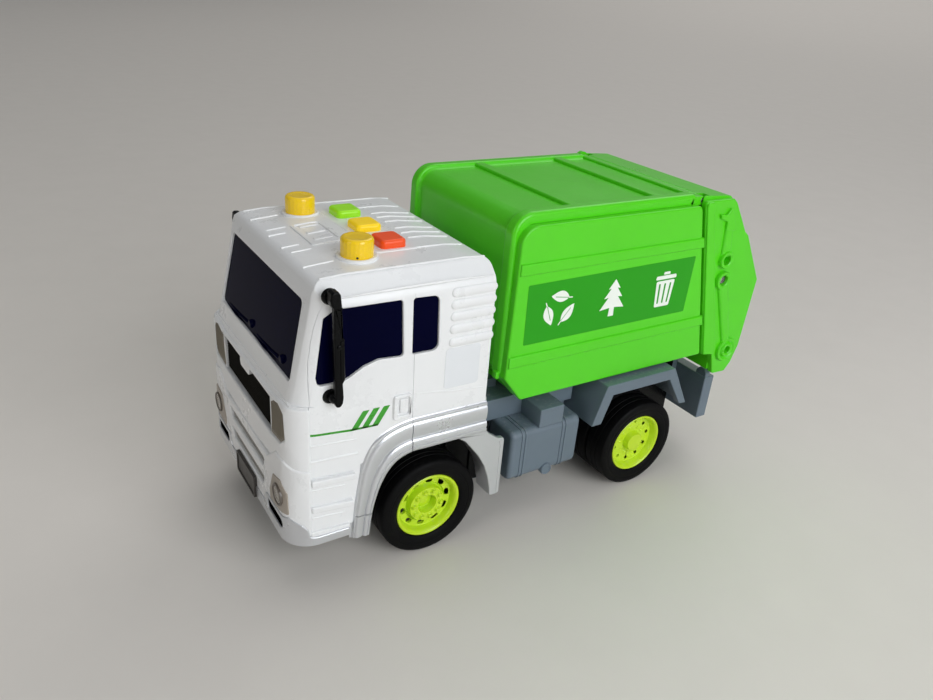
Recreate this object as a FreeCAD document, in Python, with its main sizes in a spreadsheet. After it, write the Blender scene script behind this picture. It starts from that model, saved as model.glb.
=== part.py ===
import FreeCAD, Part
import Sketcher
import math
import os
import re

V = FreeCAD.Vector
doc = FreeCAD.newDocument("toy_refuse_truck")
sheet = doc.addObject("Spreadsheet::Sheet", "Dims")
CELLS = {}

# The toy stands on z = 0, faces -Y, and its left side is +X.
# The y values in the tables below are counted from the front axle; the sheet holds them in the part frame.
FRONT_AXLE = -68.2


def cell(alias, value):
    """One named number in the sheet."""
    if alias in CELLS:
        return alias
    row = len(CELLS) + 2
    sheet.set("A%d" % row, alias.replace("_", " "))
    sheet.set("B%d" % row, "%.4f" % value)
    sheet.setAlias("B%d" % row, alias)
    CELLS[alias] = value
    return alias


def num(alias):
    return CELLS[alias]


def ref(expr):
    """A number or a formula over sheet names, as an expression."""
    if isinstance(expr, (int, float)):
        return "%.5f" % expr
    return re.sub(r"[A-Za-z_][A-Za-z_0-9]*", lambda m: "Dims." + m.group(0) if m.group(0) in CELLS else m.group(0), expr)


def bind(obj, prop, expr):
    obj.setExpression(prop, ref(expr))


MAIN = [
    ("front_axle_y", FRONT_AXLE), ("wheelbase", 128.7), ("axle_z", 25.0), ("tyre_r", 25.0), ("rim_r", 16.6),
    ("front_rim_x", 53.0), ("rear_rim_x", 55.6), ("twin_pitch", 14.9),
    ("shaft_r", 2.0), ("shaft_play", 0.06),
    ("tip_y", 180.0 + FRONT_AXLE), ("tip_z", 60.0), ("lift_y", 152.4 + FRONT_AXLE), ("lift_z", 156.4),
    ("pin_r", 1.4), ("pin_play", 0.06), ("hinge_r", 2.2), ("knuckle_r", 3.3),
]
for alias, value in MAIN:
    cell(alias, value)


def refresh(*objects, deep=False):
    """Brings the sheet and the named objects up to date, and nothing else."""
    sheet.recompute()
    for o in objects:
        o.recompute(deep)


PLANE_ROLE = {"YZ": "YZ_Plane", "XZ": "XZ_Plane", "XY": "XY_Plane"}


def origin_plane(body, plane):
    for f in body.Origin.OriginFeatures:
        if f.Role == PLANE_ROLE[plane]:
            return f


def draw(sk, name, plane, pts):
    """A closed outline of straight lines whose corners are named cells of the sheet.
    pts: (corner name, first coordinate, second coordinate); y is counted from the front axle."""
    n = len(pts)
    xy = []
    for corner, a, b in pts:
        if plane == "YZ":
            xy.append((cell("%s_%s_y" % (name, corner), a + FRONT_AXLE), cell("%s_%s_z" % (name, corner), b)))
        elif plane == "XZ":
            xy.append((cell("%s_%s_x" % (name, corner), a), cell("%s_%s_z" % (name, corner), b)))
        else:
            xy.append((cell("%s_%s_x" % (name, corner), a), cell("%s_%s_y" % (name, corner), b + FRONT_AXLE)))
    vec = [V(num(a), num(b), 0) for a, b in xy]
    for i in range(n):
        sk.addGeometry(Part.LineSegment(vec[i], vec[(i + 1) % n]), False)
    for i in range(n):
        sk.addConstraint(Sketcher.Constraint("Coincident", i, 2, (i + 1) % n, 1))
    for i, (a, b) in enumerate(xy):
        k = sk.addConstraint(Sketcher.Constraint("DistanceX", -1, 1, i, 1, num(a)))
        sk.setExpression("Constraints[%d]" % k, "Dims." + a)
        k = sk.addConstraint(Sketcher.Constraint("DistanceY", -1, 1, i, 1, num(b)))
        sk.setExpression("Constraints[%d]" % k, "Dims." + b)
    return vec


def prism(name, plane, pts, lo, hi, rounds=()):
    """A padded outline. lo and hi: where it starts and ends along the plane's own normal (+X, -Y or +Z).
    rounds: (corner names, radius) rounds the edges that run along the pad."""
    body = doc.addObject("PartDesign::Body", name)
    sk = body.newObject("Sketcher::SketchObject", name + "_outline")
    sk.AttachmentSupport = (origin_plane(body, plane), "")
    sk.MapMode = "FlatFace"
    vec = draw(sk, name, plane, pts)
    sk.setExpression(".AttachmentOffset.Base.z", ref(lo))
    pad = body.newObject("PartDesign::Pad", name + "_pad")
    pad.Profile = sk
    bind(pad, "Length", "(%s) - (%s)" % (hi, lo))
    body.Tip = pad
    refresh(sk, pad)
    tip = pad
    where = {c[0]: v for c, v in zip(pts, vec)}
    for k, (corners, radius) in enumerate(rounds):
        edges = []
        for i, e in enumerate(tip.Shape.Edges):
            if len(e.Vertexes) != 2:
                continue
            p, q = e.Vertexes[0].Point, e.Vertexes[1].Point
            if plane == "YZ":
                a, b, c = (p.y, p.z), (q.y, q.z), abs(p.x - q.x)
            elif plane == "XZ":
                a, b, c = (p.x, p.z), (q.x, q.z), abs(p.y - q.y)
            else:
                a, b, c = (p.x, p.y), (q.x, q.y), abs(p.z - q.z)
            if c < 0.05 or math.hypot(a[0] - b[0], a[1] - b[1]) > 1e-4:
                continue
            for corner in corners:
                w = where[corner]
                if math.hypot(a[0] - w.x, a[1] - w.y) < 1e-3:
                    edges.append("Edge%d" % (i + 1))
        f = body.newObject("PartDesign::Fillet", "%s_round_%d" % (name, k))
        f.Base = (tip, edges)
        bind(f, "Radius", radius)
        body.Tip = f
        refresh(f)
        tip = f
    return body


def box(name, lx, ly, lz, x, y, z):
    """A block; each size and place is a number or a formula. y is in the part frame."""
    o = doc.addObject("Part::Box", name)
    for prop, e in (("Length", lx), ("Width", ly), ("Height", lz), ("Placement.Base.x", x), ("Placement.Base.y", y), ("Placement.Base.z", z)):
        bind(o, prop, e)
    return o


def block(name, x0, x1, y0, y1, z0, z1):
    """A block between named limits; y is counted from the front axle."""
    for tag, v in (("x0", x0), ("x1", x1), ("y0", y0 + FRONT_AXLE), ("y1", y1 + FRONT_AXLE), ("z0", z0), ("z1", z1)):
        cell("%s_%s" % (name, tag), v)
    return box(name, "%s_x1 - %s_x0" % (name, name), "%s_y1 - %s_y0" % (name, name), "%s_z1 - %s_z0" % (name, name), name + "_x0", name + "_y0", name + "_z0")


def rod(name, r, length, x, y, z, axis="X"):
    """A cylinder along an axis, starting at x, y, z. y is in the part frame."""
    o = doc.addObject("Part::Cylinder", name)
    bind(o, "Radius", r)
    bind(o, "Height", length)
    rot = {"X": FreeCAD.Rotation(V(0, 1, 0), 90), "Y": FreeCAD.Rotation(V(1, 0, 0), -90), "Z": FreeCAD.Rotation()}[axis]
    o.Placement = FreeCAD.Placement(V(), rot)
    for prop, e in (("x", x), ("y", y), ("z", z)):
        bind(o, "Placement.Base." + prop, e)
    return o


def fuse(name, parts):
    if len(parts) == 1:
        return parts[0]
    o = doc.addObject("Part::MultiFuse", name)
    o.Shapes = parts
    o.Refine = True
    return o


def cut(name, base, tools):
    o = doc.addObject("Part::Cut", name)
    o.Base = base
    o.Tool = fuse(name + "_tools", tools)
    o.Refine = True
    return o


def common(name, parts):
    o = doc.addObject("Part::MultiCommon", name)
    o.Shapes = parts
    o.Refine = True
    return o


def mirrored(name, src):
    """The same piece on the right-hand side."""
    o = doc.addObject("Part::Mirroring", name)
    o.Source = src
    o.Normal = V(1, 0, 0)
    return o


def turned(name, pts, x, y, z):
    """A ring or disc turned about an axis along X. pts: (corner name, place along the axis, radius)."""
    body = doc.addObject("PartDesign::Body", name)
    sk = body.newObject("Sketcher::SketchObject", name + "_section")
    sk.AttachmentSupport = (origin_plane(body, "XY"), "")
    sk.MapMode = "FlatFace"
    n = len(pts)
    names = [(cell("%s_%s_a" % (name, c), a), cell("%s_%s_r" % (name, c), r)) for c, a, r in pts]
    vec = [V(num(a), num(r), 0) for a, r in names]
    for i in range(n):
        sk.addGeometry(Part.LineSegment(vec[i], vec[(i + 1) % n]), False)
    for i in range(n):
        sk.addConstraint(Sketcher.Constraint("Coincident", i, 2, (i + 1) % n, 1))
    for i, (a, r) in enumerate(names):
        k = sk.addConstraint(Sketcher.Constraint("DistanceX", -1, 1, i, 1, num(a)))
        sk.setExpression("Constraints[%d]" % k, "Dims." + a)
        k = sk.addConstraint(Sketcher.Constraint("DistanceY", -1, 1, i, 1, num(r)))
        sk.setExpression("Constraints[%d]" % k, "Dims." + r)
    rev = body.newObject("PartDesign::Revolution", name + "_turn")
    rev.Profile = sk
    rev.ReferenceAxis = (sk, ["H_Axis"])
    rev.Angle = 360.0
    body.Tip = rev
    for prop, e in (("x", x), ("y", y), ("z", z)):
        bind(body, "Placement.Base." + prop, e)
    return body


NODES = []


def node(name, obj):
    obj.Label = name
    NODES.append((name, obj))
    return obj


def pair(name, build):
    """A left piece and its mirror image."""
    left = build(name + "_left_shape")
    node(name + "_left", left)
    node(name + "_right", mirrored(name + "_right_shape", left))


# ---------------------------------------------------------------- cab
# Outer form: the side outline, the front outline and a plan outline that leans back with the windscreen, kept where all three overlap.
CAB_SIDE = [
    ("front_low", -66.3, 30.0), ("front_belt", -66.3, 88.0), ("screen_low", -63.4, 98.6), ("screen_top", -56.0, 135.0),
    ("brow", -52.6, 142.6), ("crown_front", -30.0, 144.6), ("crown_rear", 8.0, 144.8), ("rear_top", 26.0, 142.6),
    ("rear_low", 26.0, 60.0), ("sill_rear", -8.0, 60.0), ("sill_front", -36.0, 60.0), ("nose_low", -36.0, 30.0),
]
CAB_FRONT = [
    ("low_right", -54.5, 20.0), ("low_left", 54.5, 20.0), ("belt_left", 54.5, 100.0), ("drip_left", 54.2, 135.5),
    ("edge_left", 46.0, 143.6), ("crest", 0.0, 145.4), ("edge_right", -46.0, 143.6), ("drip_right", -54.2, 135.5), ("belt_right", -54.5, 100.0),
]


def cab_form(tag, inset):
    """The cab's rounded form, drawn in by inset."""
    side = []
    for c, y, z in CAB_SIDE:
        y += inset if y < -45 else (-inset if y > 20 else 0.0)
        z += -inset if z > 110 else (-40.0 if z < 70 and inset else 0.0)
        side.append((c, y, z))
    front = []
    for c, x, z in CAB_FRONT:
        front.append((c, x - math.copysign(inset, x) if abs(x) > 1 else x, z - (inset if z > 120 else (20.0 if z < 40 and inset else 0.0))))
    a = prism("cab_%s_side" % tag, "YZ", side, -60.0, 60.0, [(("brow",), 5.5 - inset), (("rear_top",), 3.4 - inset)])
    b = prism("cab_%s_front" % tag, "XZ", front, "-(30.0 + front_axle_y)", "-(front_axle_y - 75.0)", [(("edge_left", "edge_right"), 5.0 - inset), (("drip_left", "drip_right"), 7.0 - inset)])
    half = 54.5 - inset
    low = prism("cab_%s_low" % tag, "XY", [("fr", -half, -66.3 + inset), ("rr", -half, 26.0), ("rl", half, 26.0), ("fl", half, -66.3 + inset)], -20.0, 93.0, [(("fl", "fr"), 10.5 - inset)])
    lean = prism("cab_%s_lean" % tag, "XY", [("fr", -half, inset - FRONT_AXLE), ("rr", -half, 170.0 - FRONT_AXLE), ("rl", half, 170.0 - FRONT_AXLE), ("fl", half, inset - FRONT_AXLE)], -8.0, 80.0, [(("fl", "fr"), 10.5 - inset)])
    rake = math.degrees(math.atan2(CAB_SIDE[3][1] - CAB_SIDE[2][1], CAB_SIDE[3][2] - CAB_SIDE[2][2]))
    cell("screen_rake", rake)
    lean.Placement = FreeCAD.Placement(V(), FreeCAD.Rotation(V(1, 0, 0), -rake))
    bind(lean, "Placement.Base.y", "cab_outer_side_screen_low_y")
    bind(lean, "Placement.Base.z", "cab_outer_side_screen_low_z")
    return common("cab_%s_form" % tag, [a, b, fuse("cab_%s_plan" % tag, [low, lean])])


outer = cab_form("outer", 0.0)
inner = cab_form("inner", 2.2)

ARCH = [
    ("front_low", -32.4, 15.0), ("front_a", -30.4, 33.7), ("front_b", -28.5, 41.8), ("front_c", -26.0, 48.5), ("front_d", -22.5, 54.3), ("front_e", -18.0, 58.2),
    ("top_front", -11.5, 60.2), ("top_rear", 12.0, 60.2), ("rear_a", 19.3, 53.2), ("rear_b", 23.7, 47.5), ("rear_c", 27.7, 40.6), ("rear_d", 30.1, 34.1), ("rear_e", 32.1, 25.8), ("rear_low", 33.0, 15.0),
]
DOOR_WINDOW = [
    ("top_front", -47.7, 133.0), ("top_rear", -18.4, 132.6), ("low_rear", -17.2, 107.4), ("step_a", -28.4, 108.2), ("step_b", -34.9, 106.4),
    ("step_c", -41.3, 102.7), ("step_d", -44.5, 101.6), ("low_front", -54.6, 101.6), ("front", -55.2, 105.3), ("front_mid", -51.6, 129.6),
]
QUARTER_WINDOW = [("tf", -13.6, 132.5), ("tr", -1.6, 132.0), ("lr", -0.7, 107.2), ("lf", -13.2, 107.4)]

openings = [
    inner,
    prism("door_window_cut", "YZ", DOOR_WINDOW, -70.0, 70.0, [(("top_rear", "low_rear", "front"), 1.6), (("top_front",), 4.5), (("low_front",), 2.0)]),
    prism("quarter_window_cut", "YZ", QUARTER_WINDOW, -70.0, 70.0, [(("tf", "lf"), 1.2), (("tr", "lr"), 3.0)]),
    prism("screen_cut", "XZ", [("tl", 43.6, 134.2), ("bl", 45.0, 100.6), ("br", -45.0, 100.6), ("tr", -43.6, 134.2)], "-(front_axle_y - 40.0)", "-(front_axle_y - 80.0)", [(("tl", "tr", "bl", "br"), 2.2)]),
    prism("grille_cut", "XZ", [("tl", 46.0, 86.8), ("il", 31.0, 86.8), ("ol", 30.0, 71.4), ("or", -30.0, 71.4), ("ir", -31.0, 86.8), ("tr", -46.0, 86.8)][1:5], "-(front_axle_y - 60.0)", "-(front_axle_y - 80.0)", [(("il", "ir", "ol", "or"), 1.2)]),
    prism("wheel_cut", "YZ", [(c, y - (2.0 if y < 0 else -6.0), z + (2.0 if z > 50 else 0.0)) for c, y, z in ARCH], -70.0, 70.0),
    block("rear_low_cut", -60.0, 60.0, 12.0, 40.0, 10.0, 66.0),
]
cab = cut("cab_shell_hollow", outer, openings)
node("cab_shell", cab)


proud = cab_form("proud", -0.8)

GLASS_SLAB = [("low_out", -62.6, 97.0), ("top_out", -54.3, 138.0), ("top_in", -51.9, 137.6), ("low_in", -60.2, 96.5)]
screen_plug = common("screen_plug", [
    prism("screen_plug_outline", "XZ", [("tl", 43.4, 134.0), ("bl", 44.8, 100.8), ("br", -44.8, 100.8), ("tr", -43.4, 134.0)], "-(front_axle_y - 40.0)", "-(front_axle_y - 80.0)", [(("tl", "tr", "bl", "br"), 2.1)]),
    prism("screen_slab", "YZ", GLASS_SLAB, -60.0, 60.0),
])
node("windscreen", fuse("windscreen_shape", [
    screen_plug,
    prism("screen_plate", "YZ", [("low_out", -60.2 - 0.75, 98.2), ("top_out", -54.13, 132.0), ("top_in", -52.83, 131.7), ("low_in", -59.65, 97.9)], -43.6, 43.6),
]))


def side_glass(name):
    return fuse(name, [
        prism(name + "_door", "YZ", [(c, y + (0.12 if y < -30 else -0.12), z + (0.12 if z < 110 else -0.12)) for c, y, z in DOOR_WINDOW], 51.0, 53.3, [(("top_rear", "low_rear", "front"), 1.5), (("top_front",), 4.4), (("low_front",), 1.9)]),
        prism(name + "_quarter", "YZ", [(c, y + (0.12 if y < -5 else -0.12), z + (0.12 if z < 110 else -0.12)) for c, y, z in QUARTER_WINDOW], 51.0, 53.3, [(("tf", "lf"), 1.1), (("tr", "lr"), 2.9)]),
        block(name + "_plate", 50.6, 52.0, -50.0, 2.4, 98.6, 130.0),
    ])


pair("side_windows", side_glass)

node("cab_interior", fuse("cab_interior_shape", [
    block("interior_floor", -51.8, 51.8, -56.0, 23.4, 66.0, 68.0),
    block("interior_dash", -46.0, 46.0, -58.5, -46.0, 67.5, 95.0),
    block("interior_bench", -40.0, 40.0, -22.0, 2.0, 67.5, 86.0),
    block("interior_back_left", 10.0, 38.0, -3.0, 5.0, 85.5, 112.0),
    block("interior_back_right", -38.0, -10.0, -3.0, 5.0, 85.5, 112.0),
]))

node("grille", prism("grille_shape", "XZ", [("il", 30.9, 86.7), ("ol", 29.9, 71.5), ("or", -29.9, 71.5), ("ir", -30.9, 86.7)], "-(front_axle_y - 63.0)", "-(front_axle_y - 65.9)", [(("il", "ir", "ol", "or"), 1.1)]))


def on_nose(name, x0, x1, z0, z1, form):
    """A thin plate that lies on the nose of the cab, round its corner."""
    return cut(name, common(name + "_skin", [form, block(name + "_area", x0, x1, -70.0, -50.0, z0, z1)]), [outer])


pair("lamp_panel", lambda name: on_nose(name, 32.0, 47.5, 73.0, 86.2, proud))
pair("headlamp", lambda name: fuse(name, [
    on_nose(name + "_frame", 34.5, 51.6, 38.6, 54.6, proud),
    rod(name + "_lens", 4.4, 0.9, 43.0, "front_axle_y - 67.9", 47.0, "Y"),
]))
node("number_plate", block("number_plate_shape", -13.0, 13.0, -69.6, -67.8, 26.8, 40.6))
node("front_bumper", cut("front_bumper_shape",
    fuse("front_bumper_solid", [
        prism("bumper_out", "XY", [("fr", -55.3, -67.8), ("rr", -55.3, -41.0), ("rl", 55.3, -41.0), ("fl", 55.3, -67.8)], 25.6, 29.9, [(("fl", "fr"), 11.0)]),
        block("bumper_plate_seat", -11.0, 11.0, -67.7, -66.4, 26.0, 38.0),
    ]),
    [prism("bumper_in", "XY", [("fr", -51.5, -63.5), ("rr", -51.5, -30.0), ("rl", 51.5, -30.0), ("fl", 51.5, -63.5)], 20.0, 31.0, [(("fl", "fr"), 8.0)])]))

FENDER_OUT = [
    ("low_front", -39.7, 23.4), ("front_a", -38.4, 42.4), ("front_b", -34.1, 64.5), ("front_c", -27.3, 72.1), ("front_d", -18.0, 75.6),
    ("top_front", -11.8, 76.4), ("top_rear", 26.4, 76.0), ("notch_top", 27.6, 59.5), ("notch_in", 34.3, 54.6), ("flap_top", 37.8, 54.2), ("flap_low", 37.8, 21.8),
]
FENDER_IN = [(c, y, z) for c, y, z in ARCH]
LINER_OUT = [(c, y - (1.9 if y < 0 else -1.9), z + (1.9 if z > 45 else 0.0)) for c, y, z in ARCH]


def fender(name):
    """Outer plate, a thicker rim round the opening, and a lip that turns in under the arch."""
    plate = prism(name + "_plate", "YZ", FENDER_OUT, 54.6, 55.5)
    rim = prism(name + "_rim", "YZ", [("low_front", -37.0, 23.4), ("front_a", -35.2, 42.0), ("front_b", -31.4, 55.5), ("front_c", -24.5, 63.0), ("front_d", -13.5, 66.4), ("top_rear", 26.9, 66.0), ("notch_top", 27.6, 59.5), ("notch_in", 34.3, 54.6), ("flap_top", 37.8, 54.2), ("flap_low", 37.8, 21.8)], 54.6, 56.4)
    lip = prism(name + "_lip", "YZ", LINER_OUT, 44.0, 54.7)
    mouth = prism(name + "_mouth", "YZ", [(c, y, z if z > 20 else 5.0) for c, y, z in FENDER_IN], 40.0, 60.0)
    low = block(name + "_low_trim", 40.0, 60.0, -45.0, 45.0, 0.0, 21.8)
    return cut(name, fuse(name + "_body", [plate, rim, lip]), [mouth, low])


pair("front_fender", fender)


def mirror(name):
    return cut(name, fuse(name + "_arm", [
        rod(name + "_bar", 1.9, 45.0, 58.8, "front_axle_y - 48.6", 94.0, "Z"),
        rod(name + "_top", 2.4, 9.0, 51.0, "front_axle_y - 48.6", 139.4, "X"),
        rod(name + "_foot", 2.2, 9.0, 51.0, "front_axle_y - 48.6", 94.8, "X"),
    ]), [outer])


pair("mirror", mirror)

pair("beacon", lambda name: cut(name, fuse(name + "_body", [
    rod(name + "_lens", 6.9, 8.4, 31.2, "front_axle_y - 28.0", 144.0, "Z"),
    rod(name + "_collar", 8.6, 5.8, 31.2, "front_axle_y - 28.0", 140.2, "Z"),
]), [outer]))

BUTTONS = [("green", -21.5, -10.0), ("yellow", 0.4, -10.4), ("red", 22.3, -9.6)]
for colour, bx, by in BUTTONS:
    node("button_" + colour, cut("button_%s_shape" % colour, prism("button_%s_block" % colour, "XY", [("a", bx - 6.3, by - 6.0), ("b", bx + 6.3, by - 6.0), ("c", bx + 6.3, by + 6.0), ("d", bx - 6.3, by + 6.0)], 140.0, 147.6, [(("a", "b", "c", "d"), 2.0)]), [outer]))

# ---------------------------------------------------------------- chassis
chassis = cut("chassis_shape", fuse("chassis_solid", [
    block("hull_front", -33.0, 33.0, -56.0, 93.0, 15.0, 52.2),
    block("deck_front", -38.0, 38.0, 26.4, 93.0, 52.2, 63.6),
    block("hull_rear", -22.0, 22.0, 90.0, 166.0, 15.0, 63.0),
    block("deck_rear", -30.0, 30.0, 90.0, 166.0, 57.0, 63.0),
    block("rail_left", 18.8, 23.4, 160.0, 188.0, 32.0, 52.0),
    block("rail_right", -23.4, -18.8, 160.0, 188.0, 32.0, 52.0),
    prism("ear_left", "YZ", [("a", 173.0, 50.0), ("b", 186.5, 50.0), ("c", 186.5, 57.5), ("d", 183.0, 64.2), ("e", 177.0, 64.2), ("f", 173.0, 57.5)], 18.8, 23.4),
    prism("ear_right", "YZ", [("a", 173.0, 50.0), ("b", 186.5, 50.0), ("c", 186.5, 57.5), ("d", 183.0, 64.2), ("e", 177.0, 64.2), ("f", 173.0, 57.5)], -23.4, -18.8),
    block("rest_left", 10.0, 26.0, 44.0, 52.0, 63.0, 68.3),
    block("rest_right", -26.0, -10.0, 44.0, 52.0, 63.0, 68.3),
    block("cab_seat", -33.0, 33.0, -56.0, 24.0, 50.0, 65.8),
]), [
    rod("front_bore", "shaft_r + shaft_play", 100.0, -50.0, "front_axle_y", "axle_z", "X"),
    rod("rear_bore", "shaft_r + shaft_play", 100.0, -50.0, "front_axle_y + wheelbase", "axle_z", "X"),
    block("lug_room", -18.8, 18.8, 152.0, 190.0, 50.0, 70.0),
    rod("tip_bore", "pin_r", 60.0, -30.0, "tip_y", "tip_z", "X"),
])
node("chassis", chassis)
node("battery_cover", prism("battery_cover_shape", "XY", [("a", -21.0, -46.0), ("b", 21.0, -46.0), ("c", 21.0, -8.0), ("d", -21.0, -8.0)], 13.8, 15.0, [(("a", "b", "c", "d"), 2.0)]))


def tank(name):
    body = prism(name + "_body", "XZ", [("a", 33.0, 24.0), ("b", 54.0, 24.0), ("c", 54.0, 52.2), ("d", 33.0, 52.2)], "-(front_axle_y + 87.0)", "-(front_axle_y + 44.4)", [(("b", "c"), 4.0), (("a", "d"), 2.0)])
    return fuse(name, [body])


pair("fuel_tank", tank)
pair("side_step", lambda name: block(name, 38.0, 54.0, 60.2, 74.7, 52.2, 61.9))

GUARD_OUT = [("low_front", 93.6, 44.6), ("top_front", 100.6, 66.8), ("top_rear", 148.4, 67.0), ("low_rear", 162.4, 42.6)]


def guard(name):
    rim = prism(name + "_rim", "YZ", GUARD_OUT + [("in_low_rear", 157.2, 43.0), ("in_top_rear", 145.6, 60.6), ("in_top_front", 105.4, 60.6), ("in_low_front", 100.0, 44.6)], 51.6, 55.8)
    web = prism(name + "_web", "YZ", GUARD_OUT + [("in_low_rear", 160.2, 42.8), ("in_top_rear", 147.4, 64.8), ("in_top_front", 102.0, 64.8), ("in_low_front", 95.8, 44.6)], 30.0, 51.7)
    return fuse(name, [rim, web])


pair("rear_mudguard", guard)
node("rear_bumper", fuse("rear_bumper_shape", [
    block("rear_board", -45.6, 45.6, 188.0, 195.6, 20.0, 47.5),
    block("rear_stub_left", 37.4, 45.0, 188.6, 192.2, 47.0, 52.0),
    block("rear_stub_right", -45.0, -37.4, 188.6, 192.2, 47.0, 52.0),
]))
node("tip_pin", rod("tip_pin_shape", "pin_r", 46.8, -23.4, "tip_y", "tip_z", "X"))

# ---------------------------------------------------------------- wheels
RIM_FRONT = [("lip_out", 0.0, 16.6), ("lip_in", 0.0, 14.8), ("barrel", -3.2, 14.2), ("disc_out", -3.6, 9.8), ("disc_step", -1.2, 9.2), ("disc_in", -0.9, 5.2), ("cup", -5.0, 4.4), ("dome", -4.2, 2.4), ("tip", -4.0, 0.0), ("bore_end", -6.0, 0.0), ("bore", -6.0, 2.0), ("back", -14.5, 2.0), ("sleeve", -14.5, 5.5), ("sleeve_in", -8.0, 5.5), ("web_in", -8.0, 14.2), ("back_in", -15.2, 14.6), ("back_out", -15.2, 16.6)]
RIM_REAR = [("lip_out", 0.0, 16.6), ("lip_in", 0.0, 15.0), ("barrel", -3.6, 14.2), ("disc_out", -4.0, 13.2), ("disc_in", -4.0, 5.8), ("boss", -0.6, 5.0), ("tip", -0.2, 0.0), ("bore_end", -2.4, 0.0), ("bore", -2.4, 2.0), ("back", -27.5, 2.0), ("sleeve", -27.5, 5.5), ("sleeve_in", -8.6, 5.5), ("web_in", -8.6, 14.2), ("back_in", -28.0, 14.6), ("back_out", -28.0, 16.6)]


def tyre_section(width):
    return [("bead", -0.2, 16.6), ("wall_low", 1.2, 18.4), ("wall", 1.4, 20.6), ("shoulder", 0.6, 23.2), ("edge", -1.0, 24.7), ("tread", -2.8, 25.0),
            ("tread_in", 4.2 - width, 25.0), ("edge_in", 2.4 - width, 24.7), ("shoulder_in", 0.8 - width, 23.2), ("wall_in", -width, 20.6), ("wall_low_in", 0.2 - width, 18.4), ("bead_in", 1.6 - width, 16.6)]


pair("front_rim", lambda name: turned(name, RIM_FRONT, "front_rim_x", "front_axle_y", "axle_z"))
pair("rear_rim", lambda name: turned(name, RIM_REAR, "rear_rim_x", "front_axle_y + wheelbase", "axle_z"))
pair("front_tyre", lambda name: turned(name, tyre_section(15.4), "front_rim_x", "front_axle_y", "axle_z"))


def twin(name):
    o = doc.addObject("Part::Compound", name)
    o.Links = [
        turned(name + "_out", tyre_section(13.0), "rear_rim_x", "front_axle_y + wheelbase", "axle_z"),
        turned(name + "_in", tyre_section(13.0), "rear_rim_x - twin_pitch", "front_axle_y + wheelbase", "axle_z"),
    ]
    return o


pair("rear_tyres", twin)
node("front_axle", rod("front_axle_shape", "shaft_r", "2 * front_rim_x - 12", "6 - front_rim_x", "front_axle_y", "axle_z", "X"))
node("rear_axle", rod("rear_axle_shape", "shaft_r", "2 * rear_rim_x - 4.8", "2.4 - rear_rim_x", "front_axle_y + wheelbase", "axle_z", "X"))

# ---------------------------------------------------------------- refuse body
BIN_CORE = [("front_low", 37.6, 83.0), ("front_top", 37.6, 159.8), ("rail_end", 146.6, 159.8), ("rail_drop", 148.8, 158.4), ("rear_bend", 150.6, 153.6), ("rear_low", 172.9, 68.5), ("low_front", 49.2, 68.5)]
BIN_PANEL = [("front_low", 38.6, 81.8), ("front_top", 40.3, 155.0), ("rear_top", 149.0, 155.0), ("rear_bend", 150.8, 152.4), ("rear_low", 172.9, 68.5), ("low_front", 49.0, 68.5)]
bin_outer = fuse("bin_outer", [
    prism("bin_middle", "YZ", [("front_low", 39.2, 83.0), ("front_top", 39.2, 158.2), ("rear_top", 149.5, 158.2), ("rear_bend", 150.6, 153.6), ("rear_low", 172.9, 68.5), ("low_front", 50.0, 68.5)], -40.5, 40.5, [(("front_top",), 9.0)]),
    prism("bin_rail_left", "YZ", BIN_CORE, 40.0, 46.6, [(("front_top",), 10.0)]),
    prism("bin_rail_right", "YZ", BIN_CORE, -46.6, -40.0, [(("front_top",), 10.0)]),
    prism("bin_panel", "YZ", BIN_PANEL, -50.5, 50.5, [(("front_top",), 8.0)]),
    block("bin_cross_a", -40.5, 40.5, 72.2, 78.0, 156.0, 159.5),
    block("bin_cross_b", -40.5, 40.5, 124.4, 130.4, 156.0, 159.5),
    block("bin_cross_c", -40.5, 40.5, 147.8, 149.3, 156.0, 159.4),
    prism("bin_rib_high", "YZ", [("a", 40.9, 132.7), ("b", 40.7, 138.2), ("c", 154.9, 138.2), ("d", 156.3, 132.7)], -51.3, 51.3),
    prism("bin_rib_low", "YZ", [("a", 39.4, 87.4), ("b", 39.6, 93.2), ("c", 166.6, 93.2), ("d", 168.2, 87.4)], -51.3, 51.3),
])
LUG = [("a", 158.0, 70.0), ("b", 170.0, 70.0), ("c", 176.0, 65.0), ("d", 184.2, 63.6), ("e", 184.4, 58.2), ("f", 181.8, 55.6), ("g", 178.0, 55.6), ("k", 168.0, 62.5)]
EYE = [("a", 145.0, 154.2), ("b", 152.4, 154.2), ("c", 154.6, 156.4), ("d", 152.4, 158.6), ("e", 145.0, 158.6)]
bin_shell = cut("bin_shape", fuse("bin_solid", [
    cut("bin_hollow", bin_outer, [
        prism("bin_room_low", "YZ", [("front_low", 42.0, 84.0), ("front_top", 42.0, 152.4), ("rear_top", 160.0, 152.4), ("rear_low", 185.0, 71.0), ("low_front", 50.4, 71.0)], -48.1, 48.1, [(("front_top",), 6.0)]),
        prism("bin_room_high", "YZ", [("front_low", 42.0, 140.0), ("front_top", 42.0, 155.8), ("rear_top", 160.0, 155.8), ("rear_low", 160.0, 140.0)], -44.0, 44.0, [(("front_top",), 7.0)]),
    ]),
    prism("lug_left", "YZ", LUG, 13.0, 18.4),
    prism("lug_right", "YZ", LUG, -18.4, -13.0),
    prism("eye_left", "YZ", EYE, 42.8, 46.4),
    rod("eye_round_left", "hinge_r", 3.6, 42.8, "lift_y", "lift_z", "X"),
    prism("eye_right", "YZ", EYE, -46.4, -42.8),
    rod("eye_round_right", "hinge_r", 3.6, -46.4, "lift_y", "lift_z", "X"),
]), [
    rod("lug_bore", "pin_r + pin_play", 60.0, -30.0, "tip_y", "tip_z", "X"),
    rod("eye_bore", "pin_r + pin_play", 110.0, -55.0, "lift_y", "lift_z", "X"),
])
node("refuse_body", bin_shell)

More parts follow.
